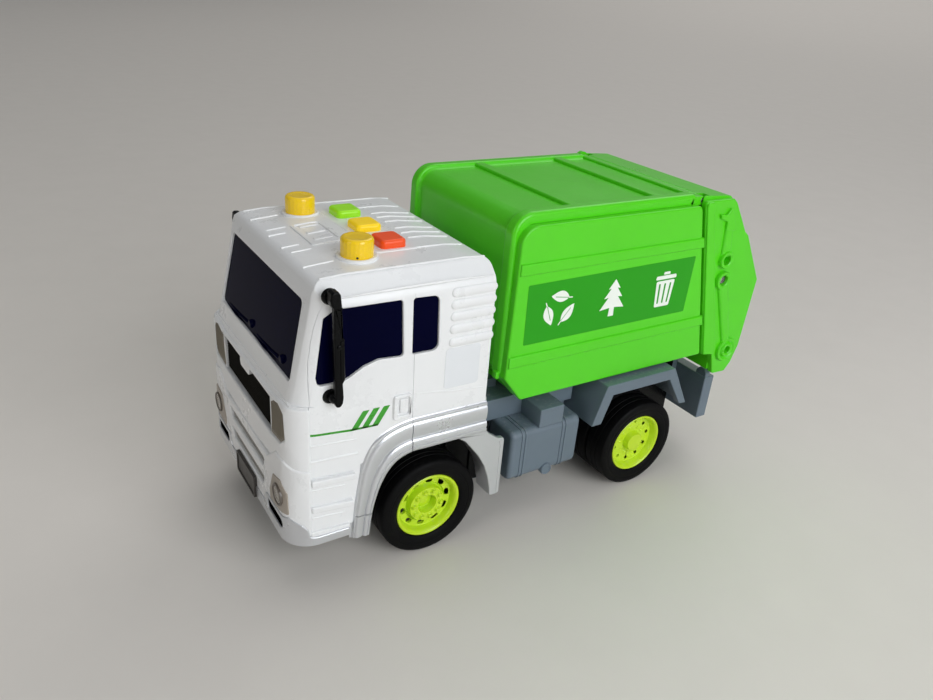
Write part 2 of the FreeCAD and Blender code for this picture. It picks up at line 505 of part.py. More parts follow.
# ---------------------------------------------------------------- tail hopper
TAIL_MID = [
    ("seam_top", 152.0, 158.3), ("seam_bevel", 152.9, 158.9), ("top_rear", 171.6, 157.6), ("brow", 174.6, 154.9), ("notch_top", 186.2, 137.8), ("notch_low", 189.2, 135.6),
    ("nose", 206.0, 108.4), ("rear_low", 203.8, 68.0), ("under", 200.0, 64.6), ("seam_low", 174.0, 68.0), ("seam_high", 151.5, 153.6),
]
TAIL_SIDE = [("seam_top", 151.6, 156.0), ("seam_bevel", 152.6, 156.9), ("top_rear", 171.8, 156.7), ("brow", 174.6, 154.3)] + TAIL_MID[4:8] + [("lug_rear", 200.4, 57.7), ("lug_low", 196.5, 52.6), ("lug_front", 186.3, 53.0), ("lug_in", 182.2, 66.4), ("seam_low", 173.6, 68.0), ("seam_high", 151.4, 153.6)]
TAIL_ROOM = [
    ("front_top", 140.0, 156.2), ("top_rear", 170.2, 155.2), ("brow", 172.0, 153.6), ("notch", 186.4, 134.0), ("nose_in", 202.8, 107.8), ("mouth_top", 215.0, 106.0),
    ("mouth_low", 215.0, 77.0), ("sill", 201.2, 77.0), ("trough", 199.6, 68.6), ("front_low", 165.0, 70.6),
]
STUB_HIGH = [("a", 155.6, 138.2), ("b", 157.0, 132.7), ("c", 159.2, 132.7), ("d", 157.8, 138.2)]
STUB_LOW = [("a", 167.5, 93.2), ("b", 169.0, 87.4), ("c", 171.2, 87.4), ("d", 169.7, 93.2)]
tail_shape = cut("tail_shape", fuse("tail_solid", [
    cut("tail_hollow", fuse("tail_outer", [
        prism("tail_mid", "YZ", TAIL_MID, -47.4, 47.4),
        prism("tail_plate_left", "YZ", TAIL_SIDE, 47.2, 50.5),
        prism("tail_plate_right", "YZ", TAIL_SIDE, -50.5, -47.2),
        block("tail_apron_left", 24.2, 47.4, 184.2, 186.0, 54.9, 67.4),
        block("tail_apron_right", -47.4, -24.2, 184.2, 186.0, 54.9, 67.4),
    ]), [prism("tail_room", "YZ", TAIL_ROOM, -47.2, 47.2)]),
    rod("hinge_barrel", "hinge_r", 84.4, -42.2, "lift_y", "lift_z", "X"),
    block("hinge_web", -42.2, 42.2, 152.4, 157.6, 154.6, 156.4),
    rod("hinge_knuckle", "knuckle_r", 3.3, -50.5, "lift_y", "lift_z", "X"),
    prism("stub_high_left", "YZ", STUB_HIGH, 50.0, 51.3),
    prism("stub_high_right", "YZ", STUB_HIGH, -51.3, -50.0),
    prism("stub_low_left", "YZ", STUB_LOW, 50.0, 51.3),
    prism("stub_low_right", "YZ", STUB_LOW, -51.3, -50.0),
    rod("hub_left", 5.4, 2.2, 50.0, "front_axle_y + 194.0", 66.7, "X"),
    rod("hub_right", 5.4, 2.2, -52.2, "front_axle_y + 194.0", 66.7, "X"),
]), [
    block("hinge_notch_left", 42.3, 46.9, 148.0, 156.4, 153.0, 161.0),
    block("hinge_notch_right", -46.9, -42.3, 148.0, 156.4, 153.0, 161.0),
    rod("barrel_bore", "pin_r", 90.0, -45.0, "lift_y", "lift_z", "X"),
])
node("tail_hopper", tail_shape)
node("lift_pin", rod("lift_pin_shape", "pin_r", 92.8, -46.4, "lift_y", "lift_z", "X"))

# ---------------------------------------------------------------- check and write
doc.recompute()
bad = ["%s: %s" % (o.Label, o.State) for o in doc.Objects if "Invalid" in o.State or "Error" in o.State]
for name, o in NODES:
    s = o.Shape
    if s.isNull() or not s.isValid() or s.Volume < 1.0 or not s.Solids:
        bad.append("%s: shape null, not valid or empty" % name)
if bad:
    raise RuntimeError("; ".join(bad))
os.makedirs("parts", exist_ok=True)
for old in os.listdir("parts"):
    if old.endswith(".step"):
        os.remove(os.path.join("parts", old))
for name, o in NODES:
    o.Shape.exportStep(os.path.join("parts", name + ".step"))
print(len(NODES), "pieces written")
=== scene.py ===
import math

import bmesh
import bpy
from mathutils import Matrix, Vector


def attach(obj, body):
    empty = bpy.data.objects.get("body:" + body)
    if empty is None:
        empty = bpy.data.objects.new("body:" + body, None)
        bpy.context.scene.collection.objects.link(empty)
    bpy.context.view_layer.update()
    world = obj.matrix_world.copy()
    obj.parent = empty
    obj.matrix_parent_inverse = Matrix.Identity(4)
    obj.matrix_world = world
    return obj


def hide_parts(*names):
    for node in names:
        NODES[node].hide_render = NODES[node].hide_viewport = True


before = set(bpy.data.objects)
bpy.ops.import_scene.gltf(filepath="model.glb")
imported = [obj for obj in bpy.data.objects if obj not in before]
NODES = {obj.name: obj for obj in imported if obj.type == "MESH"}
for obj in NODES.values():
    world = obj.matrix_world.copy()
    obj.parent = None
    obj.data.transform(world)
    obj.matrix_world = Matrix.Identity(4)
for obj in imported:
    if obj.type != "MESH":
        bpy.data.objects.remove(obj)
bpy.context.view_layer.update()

scene = bpy.context.scene

# Meshes are built in millimetres, with y counted from the front axle, and moved into the frame when they are finished.
FA = -68.2
M = 0.001


# ---------------------------------------------------------------- camera, floor and light
def photo_camera():
    right = Vector((0.525338615, 0.847651058, 0.074209318))
    down = Vector((0.412436098, -0.177382975, -0.893550080))
    ahead = Vector((-0.744255201, 0.500022963, -0.442788021))
    place = Vector((303.9637946, -222.6072653, 252.8445614)) * M
    data = bpy.data.cameras.new("photo_camera")
    data.sensor_fit = "HORIZONTAL"
    data.sensor_width = 36.0
    data.lens = 30.0688
    data.clip_start, data.clip_end = 0.01, 50.0
    cam = bpy.data.objects.new("photo_camera", data)
    scene.collection.objects.link(cam)
    cam.matrix_world = Matrix((
        (right.x, -down.x, -ahead.x, place.x),
        (right.y, -down.y, -ahead.y, place.y),
        (right.z, -down.z, -ahead.z, place.z),
        (0, 0, 0, 1),
    ))
    scene.camera = cam


photo_camera()
scene.view_settings.view_transform = "Standard"
scene.view_settings.look = "None"


def lamp(name, place, target, size, power, colour=(1, 1, 1)):
    data = bpy.data.lights.new(name, "AREA")
    data.shape = "RECTANGLE"
    data.size, data.size_y = size
    data.energy = power
    data.color = colour
    o = bpy.data.objects.new(name, data)
    scene.collection.objects.link(o)
    o.location = place
    o.rotation_mode = "QUATERNION"
    o.rotation_quaternion = (Vector(target) - Vector(place)).to_track_quat("-Z", "Y")
    return o


lamp("key_window", (1.15, 0.14, 0.62), (0.0, 0.0, 0.06), (0.9, 0.9), 10.9, (0.955, 0.98, 1.0))
lamp("top_soft", (-0.6, 0.9, 3.4), (0.0, 0.3, 0.0), (4.2, 4.2), 32.0, (1.0, 0.99, 0.97))
lamp("front_fill", (0.35, -1.25, 0.55), (0.0, -0.05, 0.07), (0.5, 0.4), 1.7, (1.0, 0.97, 0.92))
lamp("back_wash", (-3.4, 5.4, 4.4), (-3.2, 5.2, 0.0), (5.0, 5.0), 120.0, (1.0, 0.99, 0.98))

world = bpy.data.worlds.new("studio")
scene.world = world
world.use_nodes = True
wn = world.node_tree.nodes
wn["Background"].inputs["Color"].default_value = (0.86, 0.90, 0.95, 1)
wn["Background"].inputs["Strength"].default_value = 0.19


# ---------------------------------------------------------------- materials
def tree(name):
    m = bpy.data.materials.new(name)
    m.use_nodes = True
    return m, m.node_tree, m.node_tree.nodes["Principled BSDF"]


def srgb(r, g, b):
    def lin(c):
        c /= 255.0
        return c / 12.92 if c <= 0.04045 else ((c + 0.055) / 1.055) ** 2.4
    return (lin(r), lin(g), lin(b), 1.0)


def shade(c, f):
    return (min(c[0] * f, 1.0), min(c[1] * f, 1.0), min(c[2] * f, 1.0), 1.0)


def noise(nt, scale, detail=3.0, rough=0.55, coords=None):
    n = nt.nodes.new("ShaderNodeTexNoise")
    n.inputs["Scale"].default_value = scale
    n.inputs["Detail"].default_value = detail
    n.inputs["Roughness"].default_value = rough
    nt.links.new(coords, n.inputs["Vector"])
    return n.outputs["Fac"]


def ramp(nt, fac, stops):
    r = nt.nodes.new("ShaderNodeValToRGB")
    el = r.color_ramp.elements
    while len(el) < len(stops):
        el.new(0.5)
    for e, (p, c) in zip(el, stops):
        e.position = p
        e.color = c
    nt.links.new(fac, r.inputs["Fac"])
    return r.outputs["Color"]


def span(nt, fac, lo, hi, a=0.3, b=0.7):
    m = nt.nodes.new("ShaderNodeMapRange")
    m.inputs["From Min"].default_value, m.inputs["From Max"].default_value = a, b
    m.inputs["To Min"].default_value, m.inputs["To Max"].default_value = lo, hi
    nt.links.new(fac, m.inputs["Value"])
    return m.outputs["Result"]


def blend_in(nt, col, fac, share, colour):
    """Mixes a colour in where fac is high, at most by share."""
    mul = nt.nodes.new("ShaderNodeMath")
    mul.operation = "MULTIPLY"
    nt.links.new(fac, mul.inputs[0])
    mul.inputs[1].default_value = share
    mix = nt.nodes.new("ShaderNodeMix")
    mix.data_type = "RGBA"
    nt.links.new(mul.outputs[0], mix.inputs[0])
    nt.links.new(col, mix.inputs[6])
    mix.inputs[7].default_value = colour
    return mix.outputs[2]


def plastic(name, colour, rough=(0.28, 0.42), vary=0.06, grain=0.05, coat=0.0, wear=0.0, wear_colour=None, dust=0.0, metallic=0.0, spec=0.5, grain_scale=1500.0, ior=1.5, painted_glow=0.0):
    """Moulded plastic: a slow change of tone, rubbed and clean patches in its gloss, a fine moulding grain, hairline scuffs, and dust on what faces up."""
    m, nt, b = tree(name)
    tc = nt.nodes.new("ShaderNodeTexCoord").outputs["Object"]
    slow = noise(nt, 26.0, 4.0, 0.6, tc)
    col = ramp(nt, slow, [(0.3, shade(colour, 1 - vary)), (0.7, shade(colour, 1 + vary))])
    if wear:
        turn = nt.nodes.new("ShaderNodeMapping")
        turn.inputs["Scale"].default_value = (60.0, 420.0, 300.0)
        turn.inputs["Rotation"].default_value = (0.5, 0.3, 0.7)
        nt.links.new(tc, turn.inputs["Vector"])
        line = noise(nt, 1.0, 6.0, 0.6, turn.outputs["Vector"])
        where = span(nt, noise(nt, 38.0, 3.0, 0.6, tc), 0.0, 1.0, 0.50, 0.68)
        mul = nt.nodes.new("ShaderNodeMath")
        mul.operation = "MULTIPLY"
        nt.links.new(span(nt, line, 0.0, 1.0, 0.64, 0.70), mul.inputs[0])
        nt.links.new(where, mul.inputs[1])
        col = blend_in(nt, col, mul.outputs[0], wear, wear_colour or shade(colour, 1.5))
    if dust:
        geo = nt.nodes.new("ShaderNodeNewGeometry")
        sep = nt.nodes.new("ShaderNodeSeparateXYZ")
        nt.links.new(geo.outputs["Normal"], sep.inputs[0])
        up = span(nt, sep.outputs["Z"], 0.0, 1.0, 0.55, 1.0)
        speck = span(nt, noise(nt, 420.0, 5.0, 0.75, tc), 0.0, 1.0, 0.52, 0.72)
        mul = nt.nodes.new("ShaderNodeMath")
        mul.operation = "MULTIPLY"
        nt.links.new(up, mul.inputs[0])
        nt.links.new(speck, mul.inputs[1])
        col = blend_in(nt, col, mul.outputs[0], dust, srgb(196, 192, 184))
    nt.links.new(col, b.inputs["Base Color"])
    patch = noise(nt, 48.0, 6.0, 0.68, tc)
    nt.links.new(span(nt, patch, rough[0], rough[1]), b.inputs["Roughness"])
    fine = noise(nt, grain_scale, 2.0, 0.5, tc)
    wavy = noise(nt, 110.0, 2.0, 0.5, tc)
    add = nt.nodes.new("ShaderNodeMath")
    add.operation = "MULTIPLY_ADD"
    nt.links.new(wavy, add.inputs[0])
    add.inputs[1].default_value = 2.0
    nt.links.new(fine, add.inputs[2])
    bump = nt.nodes.new("ShaderNodeBump")
    bump.inputs["Strength"].default_value = grain
    bump.inputs["Distance"].default_value = 0.0004
    nt.links.new(add.outputs[0], bump.inputs["Height"])
    nt.links.new(bump.outputs["Normal"], b.inputs["Normal"])
    b.inputs["Metallic"].default_value = metallic
    b.inputs["Specular IOR Level"].default_value = spec
    b.inputs["IOR"].default_value = ior
    b.inputs["Coat Weight"].default_value = coat
    b.inputs["Coat Roughness"].default_value = 0.12
    # Painted glow: a little light of the material's own colour, given off although the part is no lamp.
    if painted_glow:
        b.inputs["Emission Color"].default_value = colour
        b.inputs["Emission Strength"].default_value = painted_glow
    return m


GREEN = srgb(86, 216, 24)
MAT = {
    "cab_white": plastic("cab_white_plastic", srgb(240, 241, 242), (0.24, 0.36), 0.012, 0.035, 0.25, 0.0, dust=0.12),
    "silver_paint": plastic("silver_paint_plastic", srgb(216, 218, 222), (0.26, 0.35), 0.03, 0.007, 0.3, 0.0, metallic=0.72, grain_scale=2600.0),
    "body_green": plastic("body_green_plastic", GREEN, (0.27, 0.38), 0.03, 0.035, 0.1, 0.15, srgb(150, 240, 90), dust=0.06, spec=0.42),
    "chassis_grey": plastic("chassis_grey_plastic", srgb(104, 118, 130), (0.34, 0.48), 0.05, 0.06, 0.0, 0.35, srgb(150, 160, 170), dust=0.3),
    "black_plastic": plastic("black_moulded_plastic", srgb(3, 4, 5), (0.22, 0.34), 0.12, 0.03, 0.0, 0.08, srgb(24, 24, 26), spec=0.3, ior=1.3),
    "tyre_black": plastic("tyre_black_rubber", srgb(6, 6, 7), (0.48, 0.66), 0.14, 0.10, 0.0, 0.15, srgb(24, 23, 22), dust=0.02, spec=0.25, ior=1.3, grain_scale=900.0),
    "rim_lime": plastic("rim_lime_plastic", srgb(198, 230, 36), (0.26, 0.40), 0.03, 0.04, 0.1, 0.3, srgb(226, 246, 120), dust=0.3),
    "window_navy": plastic("window_navy_plastic", srgb(4, 5, 34), (0.06, 0.13), 0.15, 0.01, 0.0, 0.0, spec=0.10, ior=1.18),
    "grille_dark": plastic("grille_dark_plastic", srgb(20, 17, 11), (0.66, 0.84), 0.12, 0.10, 0.0, 0.3, srgb(60, 54, 44), spec=0.12),
    "lamp_clear": plastic("lamp_grey_print", srgb(120, 112, 96), (0.34, 0.50), 0.06, 0.08, 0.1, 0.3, srgb(190, 184, 172)),
    # The beacons and buttons carry a painted glow of their own colour.
    "beacon_amber": plastic("beacon_amber_plastic", srgb(244, 204, 18), (0.2, 0.32), 0.03, 0.02, 0.3, 0.0, dust=0.04, painted_glow=0.06),
    "button_green": plastic("button_green_plastic", srgb(158, 236, 16), (0.28, 0.42), 0.03, 0.04, 0.1, 0.2, srgb(190, 244, 110), painted_glow=0.08),
    "button_yellow": plastic("button_yellow_plastic", srgb(255, 216, 0), (0.28, 0.42), 0.03, 0.04, 0.1, 0.2, srgb(253, 216, 110), painted_glow=0.16),
    "button_red": plastic("button_red_plastic", srgb(248, 82, 14), (0.28, 0.42), 0.03, 0.04, 0.1, 0.2, srgb(250, 130, 90), painted_glow=0.08),
    "steel": plastic("bright_steel", srgb(168, 168, 166), (0.20, 0.38), 0.08, 0.06, 0.0, 0.0, metallic=1.0),
    "plate_blank": plastic("plate_blank_print", srgb(58, 54, 50), (0.35, 0.5), 0.06, 0.05, 0.1, 0.4, srgb(120, 112, 100)),
}
EXTRA = {
    "interior": plastic("interior_blue_grey", srgb(60, 66, 92), (0.45, 0.6), 0.08, 0.05),
    "field": plastic("decal_field_print", srgb(34, 160, 8), (0.3, 0.4), 0.02, 0.01, 0.0, spec=0.3),
    "motif": plastic("decal_motif_print", srgb(246, 252, 244), (0.25, 0.38), 0.015, 0.02, 0.4),
    "stripe": plastic("stripe_print", srgb(52, 158, 30), (0.24, 0.36), 0.04, 0.02, 0.3),
    "sticker": plastic("blank_sticker_print", srgb(233, 236, 240), (0.12, 0.20), 0.01, 0.01, 0.8),
    # Painted shadow: the grey that the white plastic shows in shade inside the bumper slots.
    "shadow_grey": plastic("slot_painted_shadow_grey", srgb(146, 144, 138), (0.4, 0.55), 0.04, 0.05),
    "beige": plastic("headlamp_panel_print", srgb(168, 158, 146), (0.3, 0.44), 0.04, 0.03, 0.1, 0.2, srgb(200, 192, 182)),
    "ring": plastic("headlamp_ring_print", srgb(96, 88, 80), (0.25, 0.38), 0.04, 0.03, 0.1),
    # Painted shade: the dark that fills the inside of holes.
    "hole": plastic("hole_painted_shade", srgb(24, 24, 22), (0.5, 0.7), 0.1, 0.05),
    "lens": plastic("lamp_lens_print", srgb(150, 142, 130), (0.12, 0.22), 0.03, 0.03, 0.8),
}


# ---------------------------------------------------------------- mesh tools
def tidy(bm):
    bmesh.ops.recalc_face_normals(bm, faces=bm.faces[:])
    bm.normal_update()
    return bm


def temp(bm):
    me = bpy.data.meshes.new("temp")
    bm.to_mesh(me)
    o = bpy.data.objects.new("temp", me)
    scene.collection.objects.link(o)
    return o


def drop(o):
    me = o.data
    bpy.data.objects.remove(o)
    bpy.data.meshes.remove(me)


def boolean(bm, tool, op="DIFFERENCE"):
    a, b = temp(bm), temp(tool)
    mod = a.modifiers.new("cut", "BOOLEAN")
    mod.object, mod.operation, mod.solver = b, op, "MANIFOLD"
    bpy.context.view_layer.update()
    me = bpy.data.meshes.new_from_object(a.evaluated_get(bpy.context.evaluated_depsgraph_get()))
    out = bmesh.new()
    out.from_mesh(me)
    bpy.data.meshes.remove(me)
    drop(a)
    drop(b)
    bm.free()
    tool.free()
    return out


def join(*bms):
    out = bmesh.new()
    for b in bms:
        me = bpy.data.meshes.new("join")
        b.to_mesh(me)
        b.free()
        out.from_mesh(me)
        bpy.data.meshes.remove(me)
    return out


def bevel(bm, w=0.35, seg=2, angle=30.0, pick=None, clamp=False, profile=0.5):
    bm.normal_update()
    lim = math.radians(angle)
    edges = [e for e in bm.edges if len(e.link_faces) == 2 and e.calc_face_angle(0.0) > lim and (pick is None or pick(e))]
    if edges:
        bmesh.ops.bevel(bm, geom=edges, offset=w, offset_type="OFFSET", segments=seg, profile=profile, affect="EDGES", clamp_overlap=clamp)
    bmesh.ops.remove_doubles(bm, verts=bm.verts[:], dist=0.004)
    return bm


def cad(name, dist=0.02, flat=1.0):
    """A working copy of a CAD node's mesh, joined up and with its flat faces whole."""
    bm = bmesh.new()
    bm.from_mesh(NODES[name].data)
    for v in bm.verts:
        v.co = Vector((v.co.x / M, v.co.y / M - FA, v.co.z / M))
    bmesh.ops.remove_doubles(bm, verts=bm.verts[:], dist=dist)
    bmesh.ops.dissolve_limit(bm, angle_limit=math.radians(flat), verts=bm.verts[:], edges=bm.edges[:])
    bmesh.ops.dissolve_degenerate(bm, edges=bm.edges[:], dist=dist)
    return bm


def face_normals(bm, smooth):
    """Corner normals weighted by face size, so that flat faces stay flat beside their rounded edges."""
    lim = math.radians(smooth)
    for f in bm.faces:
        f.smooth = True
    joined = {}
    for e in bm.edges:
        e.smooth = len(e.link_faces) == 2 and e.calc_face_angle(math.pi) <= lim
    area = {f.index: f.calc_area() for f in bm.faces}
    for v in bm.verts:
        left = {f.index: f for f in v.link_faces}
        while left:
            key, f = left.popitem()
            fan, todo = [f], [f]
            while todo:
                g = todo.pop()
                for e in g.edges:
                    if e.smooth and v in e.verts:
                        for h in e.link_faces:
                            if h.index in left:
                                del left[h.index]
                                fan.append(h)
                                todo.append(h)
            n = Vector((0.0, 0.0, 0.0))
            for g in fan:
                n += g.normal * area[g.index]
            n = n.normalized() if n.length > 1e-12 else f.normal.copy()
            for g in fan:
                joined[(g.index, v.index)] = n
    return joined


def outward(bm):
    """Turns each closed shell of a mesh the right way out."""
    seen = set()
    for start in bm.faces[:]:
        if start in seen:
            continue
        seen.add(start)
        shell = [start]
        for f in shell:
            for e in f.edges:
                for g in e.link_faces:
                    if g not in seen:
                        seen.add(g)
                        shell.append(g)
        volume = 0.0
        for f in shell:
            vs = [v.co for v in f.verts]
            for k in range(1, len(vs) - 1):
                volume += vs[0].dot(vs[k].cross(vs[k + 1]))
        if volume < 0:
            bmesh.ops.reverse_faces(bm, faces=shell)


def make(name, bm, mat, body, smooth=35.0, stands_for=(), weigh=True):
    """The finished piece, moved into the frame and riding on its body."""
    outward(bm)
    bm.normal_update()
    bm.verts.index_update()
    bm.faces.index_update()
    wn = face_normals(bm, smooth) if weigh else None
    for v in bm.verts:
        v.co = Vector((v.co.x * M, (v.co.y + FA) * M, v.co.z * M))
    bm.normal_update()
    me = bpy.data.meshes.new(name)
    bm.to_mesh(me)
    bm.free()
    if me.has_custom_normals:
        me.attributes.remove(me.attributes["custom_normal"])
    me.shade_smooth()
    me.set_sharp_from_angle(angle=math.radians(smooth))
    if weigh:
        rows = []
        for p in me.polygons:
            for k in p.loop_indices:
                rows.append(wn[(p.index, me.loops[k].vertex_index)])
        me.normals_split_custom_set(rows)
    me.materials.clear()
    me.materials.append(mat)
    o = bpy.data.objects.new(name, me)
    scene.collection.objects.link(o)
    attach(o, body)
    if stands_for:
        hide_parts(*stands_for)
    return o


def rounded(pts, r, n=4):
    """Outline with its corners rounded. r: one radius, or one for each corner."""
    out = []
    k = len(pts)
    for i in range(k):
        p0, p1, p2 = Vector(pts[i - 1]), Vector(pts[i]), Vector(pts[(i + 1) % k])
        rad = r[i] if isinstance(r, (list, tuple)) else r
        a, b = (p0 - p1), (p2 - p1)
        la, lb = a.length, b.length
        if rad <= 0 or la < 1e-6 or lb < 1e-6:
            out.append(tuple(p1))
            continue
        a, b = a / la, b / lb
        ang = a.angle(b)
        if ang > math.radians(176) or ang < math.radians(4):
            out.append(tuple(p1))
            continue
        t = min(rad / math.tan(ang / 2), la * 0.49, lb * 0.49)
        rr = t * math.tan(ang / 2)
        c = p1 + (a + b).normalized() * (rr / math.sin(ang / 2))
        s, e = p1 + a * t, p1 + b * t
        a0, a1 = math.atan2(s.y - c.y, s.x - c.x), math.atan2(e.y - c.y, e.x - c.x)
        d = (a1 - a0 + math.pi) % (2 * math.pi) - math.pi
        for j in range(n + 1):
            th = a0 + d * j / n
            out.append((c.x + rr * math.cos(th), c.y + rr * math.sin(th)))
    return out


def slab(outline, lo, hi, w=0.3, seg=2, holes=(), low_too=False):
    """A plate drawn flat: u, v and height. The edges of its upper face are rounded by w."""
    bm = bmesh.new()
    vs = [bm.verts.new((u, v, lo)) for u, v in outline]
    f = bm.faces.new(vs)
    r = bmesh.ops.extrude_face_region(bm, geom=[f])
    for e in r["geom"]:
        if isinstance(e, bmesh.types.BMVert):
            e.co.z = hi
    tidy(bm)
    for h in holes:
        bm = boolean(bm, slab(h, lo - 1.0, hi + 1.0, 0.0))
    tidy(bm)
    if w > 0:
        def rim(e):
            a, b = e.verts[0].co.z, e.verts[1].co.z
            return (abs(a - hi) < 1e-4 and abs(b - hi) < 1e-4) or (low_too and abs(a - lo) < 1e-4 and abs(b - lo) < 1e-4)
        bevel(bm, w, seg, 30.0, rim)
    return bm


def bend(bm, fn, u_cuts=(), v_cuts=()):
    """Carries a flat drawing onto a surface, with extra edges where the surface turns."""
    if u_cuts or v_cuts:
        bmesh.ops.triangulate(bm, faces=bm.faces[:])
    for cuts, co, no in ((u_cuts, lambda c: (c, 0, 0), (1, 0, 0)), (v_cuts, lambda c: (0, c, 0), (0, 1, 0))):
        for c in cuts:
            bmesh.ops.bisect_plane(bm, geom=bm.verts[:] + bm.edges[:] + bm.faces[:], plane_co=co(c), plane_no=no, dist=1e-5)
    for v in bm.verts:
        v.co = Vector(fn(*v.co))
    return tidy(bm)


def solid(outline, plane, lo, hi, w=0.3, seg=2):
    """An outline extruded along an axis, all its sharp edges rounded. plane YZ: (y, z) along x. XZ: (x, z) along y. XY: (x, y) along z."""
    bm = slab(outline, lo, hi, 0.0)
    bend(bm, {"YZ": lambda a, b, c: (c, a, b), "XZ": lambda a, b, c: (a, c, b), "XY": lambda a, b, c: (a, b, c)}[plane])
    if w:
        bevel(bm, w, seg, 25.0)
    return bm


def cuboid(x0, x1, y0, y1, z0, z1, w=0.3, seg=2):
    return solid([(x0, y0), (x1, y0), (x1, y1), (x0, y1)], "XY", z0, z1, w, seg)


def lathe(profile, centre, axis="X", n=64, sign=1.0):
    """A turned piece. profile: (place along the axis, radius), from axis to axis or closed on itself."""
    bm = bmesh.new()
    rings = []
    for a, r in profile:
        if r < 1e-6:
            rings.append([bm.verts.new((a * sign, 0, 0))])
        else:
            rings.append([bm.verts.new((a * sign, r * math.cos(2 * math.pi * k / n), r * math.sin(2 * math.pi * k / n))) for k in range(n)])
    closed = len(rings[0]) > 1 or len(rings[-1]) > 1
    pairs = list(zip(rings, rings[1:])) + ([(rings[-1], rings[0])] if closed else [])
    for p, q in pairs:
        for k in range(n):
            j = (k + 1) % n
            if len(p) > 1 and len(q) > 1:
                bm.faces.new((p[k], p[j], q[j], q[k]))
            elif len(p) > 1:
                bm.faces.new((p[k], p[j], q[0]))
            elif len(q) > 1:
                bm.faces.new((p[0], q[j], q[k]))
    for v in bm.verts:
        x, y, z = v.co
        if axis == "Y":
            x, y, z = y, x, z
        elif axis == "Z":
            x, y, z = z, y, x
        v.co = Vector((x + centre[0], y + centre[1], z + centre[2]))
    return tidy(bm)


def tube(path, r, n=14, ends=True):
    """A round bar along a path. r: one radius, or one for each point."""
    bm = bmesh.new()
    pts = [Vector(p) for p in path]
    rings = []
    up = Vector((0.13, 0.27, 0.95))
    for i, p in enumerate(pts):
        t = (pts[min(i + 1, len(pts) - 1)] - pts[max(i - 1, 0)]).normalized()
        side = t.cross(up)
        side.normalize()
        other = side.cross(t)
        up = other
        rad = r[i] if isinstance(r, (list, tuple)) else r
        rings.append([bm.verts.new(p + (side * math.cos(2 * math.pi * k / n) + other * math.sin(2 * math.pi * k / n)) * rad) for k in range(n)])
    for a, b in zip(rings, rings[1:]):
        for k in range(n):
            j = (k + 1) % n
            bm.faces.new((a[k], a[j], b[j], b[k]))
    if ends:
        for ring, p, d in ((rings[0], pts[0], pts[0] - pts[1]), (rings[-1], pts[-1], pts[-1] - pts[-2])):
            rad = (ring[0].co - p).length
            inner = [bm.verts.new(p + (v.co - p) * 0.7 + d.normalized() * rad * 0.45) for v in ring]
            tip = bm.verts.new(p + d.normalized() * rad * 0.62)
            for k in range(n):
                j = (k + 1) % n
                bm.faces.new((ring[k], ring[j], inner[j], inner[k]))
                bm.faces.new((inner[k], inner[j], tip))
    return tidy(bm)


def smooth_path(pts, n=6):
    """Points along a soft curve through the given ones."""
    p = [Vector(q) for q in pts]
    out = []
    for i in range(len(p) - 1):
        a, b, c, d = p[max(i - 1, 0)], p[i], p[i + 1], p[min(i + 2, len(p) - 1)]
        for k in range(n):
            t = k / n
            out.append(0.5 * ((2 * b) + (c - a) * t + (2 * a - 5 * b + 4 * c - d) * t * t + (3 * b - 3 * c + d - a) * t ** 3))
    out.append(p[-1])
    return out


def pill(u0, u1, v, half, high, fn, n=8, u_cuts=(), tilt=0.0, lo=-0.3, blunt=None, steps=6):
    """A raised rib with round ends, lying along u on a surface. blunt: ends left square ('hi' or 'lo')."""
    bm = bmesh.new()
    us = []
    for k in range(steps + 1):
        a = math.pi / 2 * k / steps
        us.append((u0 + half * (1 - math.sin(a + 0.0)), math.cos(math.pi / 2 - a)) if False else (u0 + half * (1 - math.cos(a)), math.sin(a)))
    left = us if blunt != "lo" else [(u0, 1.0)]
    right = [(u1 - (a - u0), b) for a, b in reversed(us)] if blunt != "hi" else [(u1, 1.0)]
    mid = [(c, 1.0) for c in u_cuts if left[-1][0] < c < right[0][0]]
    rows = []
    for u, s in left + mid + right:
        s = max(s, 0.02)
        vv = v + tilt * (u - u0)
        row = [bm.verts.new((u, vv - half * s, lo))]
        for k in range(n + 1):
            th = math.pi * k / n
            row.append(bm.verts.new((u, vv - half * s * math.cos(th), high * s * math.sin(th))))
        row.append(bm.verts.new((u, vv + half * s, lo)))
        rows.append(row)
    for a, b in zip(rows, rows[1:]):
        for k in range(len(a) - 1):
            bm.faces.new((a[k], a[k + 1], b[k + 1], b[k]))
        bm.faces.new((a[-1], a[0], b[0], b[-1]))
    bm.faces.new(rows[0])
    bm.faces.new(list(reversed(rows[-1])))
    for w in bm.verts:
        w.co = Vector(fn(*w.co))
    return tidy(bm)


def bead(path, fn, half=0.5, high=0.35, n=6, lo=-0.3, taper=True):
    """A raised line along a path in (u, v) on a surface."""
    bm = bmesh.new()
    pts = [Vector(p) for p in path]
    rows = []
    m = len(pts)
    for i, p in enumerate(pts):
        t = (pts[min(i + 1, m - 1)] - pts[max(i - 1, 0)]).normalized()
        s = Vector((-t.y, t.x))
        k0 = 0.25 if taper and i in (0, m - 1) else 1.0
        row = [bm.verts.new((*(p - s * half * k0), lo))]
        for k in range(n + 1):
            th = math.pi * k / n
            q = p - s * half * k0 * math.cos(th)
            row.append(bm.verts.new((q.x, q.y, high * k0 * math.sin(th))))
        row.append(bm.verts.new((*(p + s * half * k0), lo)))
        rows.append(row)
    for a, b in zip(rows, rows[1:]):
        for k in range(len(a) - 1):
            bm.faces.new((a[k], a[k + 1], b[k + 1], b[k]))
        bm.faces.new((a[-1], a[0], b[0], b[-1]))
    bm.faces.new(rows[0])
    bm.faces.new(list(reversed(rows[-1])))
    for w in bm.verts:
        w.co = Vector(fn(*w.co))
    return tidy(bm)


